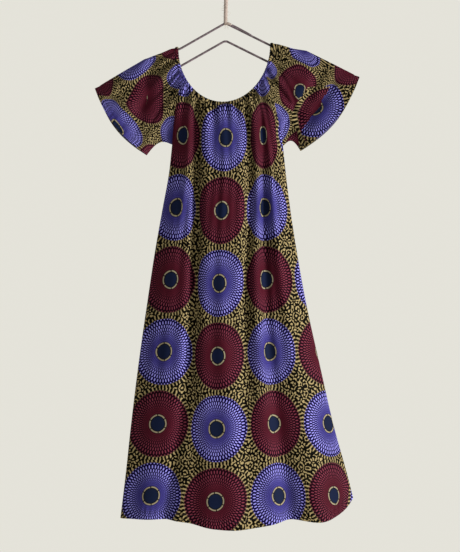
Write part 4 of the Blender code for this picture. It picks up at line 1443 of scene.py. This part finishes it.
def casing_cloth(rings):
    """Mesh of the casing, with the print of the piece that each column belongs to."""
    rows = len(rings)
    index = closed_grid(np.arange(rows * ring_total).reshape(rows, ring_total))
    quads = grid_quads(np.vstack((index, index[:1])))[:, (0, 3, 2, 1)]
    limits = (front_left, front_right, back_right, back_left)
    owners = np.searchsorted(limits, np.arange(ring_total), side="right") % len(limits)
    sources = []
    for key in ("left", "front", "right", "back"):
        part = neck_part if key in SLEEVE_SIDES else slice(None)
        base = np.zeros((ring_total, 2))
        slope = np.zeros((ring_total, 2))
        base[ring_numbers[key]] = maps[key][0, part]
        rise = (maps[key][2, part] - maps[key][0, part]) / lengths_along(cloths[key], 0)[2, part, None]
        slope[ring_numbers[key]] = rise
        sources.append((base, slope))
    travel = []
    for ring, (share, _, _) in enumerate(CASING_SECTION):
        travel.append(CASING_DEPTH * (1.0 - share if ring < CASING_BACK_FROM else 1.0 + share))
    travel = np.array(travel + travel[:1])[:, None] * CASING_PRINT
    uv = np.zeros((rows, ring_total, 4, 2))
    for column, owner in enumerate(owners):
        base, slope = sources[owner]
        after = (column + 1) % ring_total
        uv[:, column, 0] = base[column] - slope[column] * travel[:-1]
        uv[:, column, 1] = base[after] - slope[after] * travel[:-1]
        uv[:, column, 2] = base[after] - slope[after] * travel[1:]
        uv[:, column, 3] = base[column] - slope[column] * travel[1:]
    return add_cloth("casing_cloth", rings.reshape(-1, 3), quads, uv, np.zeros(len(quads)))


casing = casing_rings()
pieces["casing_cloth"] = casing_cloth(casing)

yarn = yarn_finish()
twine = twine_finish()
yarn_bars = wound_tube("yarn_bars", hanger_loop(), yarn, closed=True)
twine_hook = wound_tube("twine_hook", rounded(hook_line(), 1), twine)
doubled_end = wound_tube("doubled_end", [(x, 0.0, bar_height(x) + lift) for x, lift in DOUBLED_END], yarn)
apex_twine = wound_tube("apex_twine", [(x, 0.0, z) for x, z in APEX_TWINE], twine)
fibre = drifting_finish("loose_fibre", 0.25, 300.0, 2.0, (130, 114, 102), (176, 162, 150), 0.75, 0.2, 0.0002)
loose_fibres = add_cords("loose_fibres", [fibre_rings(line) for line in fibre_lines()], FIBRE_SIDES, fibre)


def row_above_edge(cloth, depth):
    """The row of a piece that runs at about this depth above its lower edge."""
    down = lengths_along(cloth, 0)[:, MEASURED_COLUMN]
    return int(np.argmin(np.abs(down[-1] - down - depth)))


thread = drifting_finish("sewing_thread", 0.35, 1500.0, 1.0, (38, 30, 44), (70, 58, 70), 0.5, 0.3, 0.0001)
hem_row = row_above_edge(cloths["front"], HEM_DEPTH)
cuff_row = row_above_edge(cloths["left"], CUFF_HEM_DEPTH)
threads = {}
for key, row, place in (("front", hem_row, "hem"), ("back", hem_row, "hem"),
                        ("left", cuff_row, "cuff"), ("right", cuff_row, "cuff")):
    name = f"{key}_{place}_stitches"
    line = cloths[key][row] + normals[key][row] * HALF_CLOTH
    threads[name] = stitches(name, line, normals[key][row], HEM_STITCH, thread)
casing_line = np.vstack((casing[1], casing[1][:1]))
casing_out = np.vstack((normal, normal[:1]))
threads["casing_stitches"] = stitches("casing_stitches", casing_line, casing_out, CASING_STITCH, thread)

replaced = {
    "front_cloth": "front_panel",
    "back_cloth": "back_panel",
    "left_sleeve_cloth": "sleeve_left",
    "right_sleeve_cloth": "sleeve_right",
    "casing_cloth": "neck_casing",
}
for name, node in replaced.items():
    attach(pieces[name], "root")
    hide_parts(node)
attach(yarn_bars, "root")
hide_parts("hanger_frame")
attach(twine_hook, "root")
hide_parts("hanger_hook")
for piece in threads.values():
    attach(piece, "root")
for piece in (doubled_end, apex_twine, loose_fibres):
    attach(piece, "root")

# Studio: a round pale floor, pale room light, one soft lamp and the camera
bpy.ops.object.select_all(action="DESELECT")
bpy.ops.mesh.primitive_circle_add(vertices=96, radius=1.15, fill_type="NGON", location=(0.0, 0.0, -1.95))
floor = bpy.context.object
floor.name = "pale_floor"
bpy.ops.object.transform_apply(location=True, rotation=True, scale=True)
floor_paint = drifting_finish("pale_floor", 0.2, 3.0, 2.0, (236, 233, 222), (242, 239, 229), 0.8, 0.05, 0.001)
floor.data.materials.append(floor_paint)

world = bpy.data.worlds.new("pale_room")
bpy.context.scene.world = world
world.use_nodes = True
room_light = world.node_tree.nodes["Background"]
room_light.inputs["Color"].default_value = linear(252, 250, 240)
room_light.inputs["Strength"].default_value = 0.8


def soft_light(name, location, target, size, power):
    """A square area light aimed at a point."""
    data = bpy.data.lights.new(name, "AREA")
    data.size = size
    data.energy = power
    data.color = (1.0, 0.98, 0.94)
    lamp = bpy.data.objects.new(name, data)
    bpy.context.scene.collection.objects.link(lamp)
    lamp.location = location
    way = np.array(target) - np.array(location)
    yaw = math.atan2(way[0], -way[1])
    pitch = math.atan2(math.hypot(way[0], way[1]), -way[2])
    lamp.rotation_euler = (pitch, 0.0, yaw + math.pi)


soft_light("key_light", (4.2, -2.1, -2.1), (0.0, 0.0, -1.0), 1.3, 540)
bpy.context.scene.view_settings.view_transform = "Standard"

camera_data = bpy.data.cameras.new("camera")
camera_data.sensor_width = SENSOR
camera_data.lens = SENSOR / (IMAGE_ROWS * PIXEL / CAMERA_DISTANCE)
camera = bpy.data.objects.new("camera", camera_data)
bpy.context.scene.collection.objects.link(camera)
camera.location = (CAMERA_X, -CAMERA_DISTANCE, CAMERA_Z)
camera.rotation_euler = (math.pi / 2, 0.0, 0.0)
bpy.context.scene.camera = camera
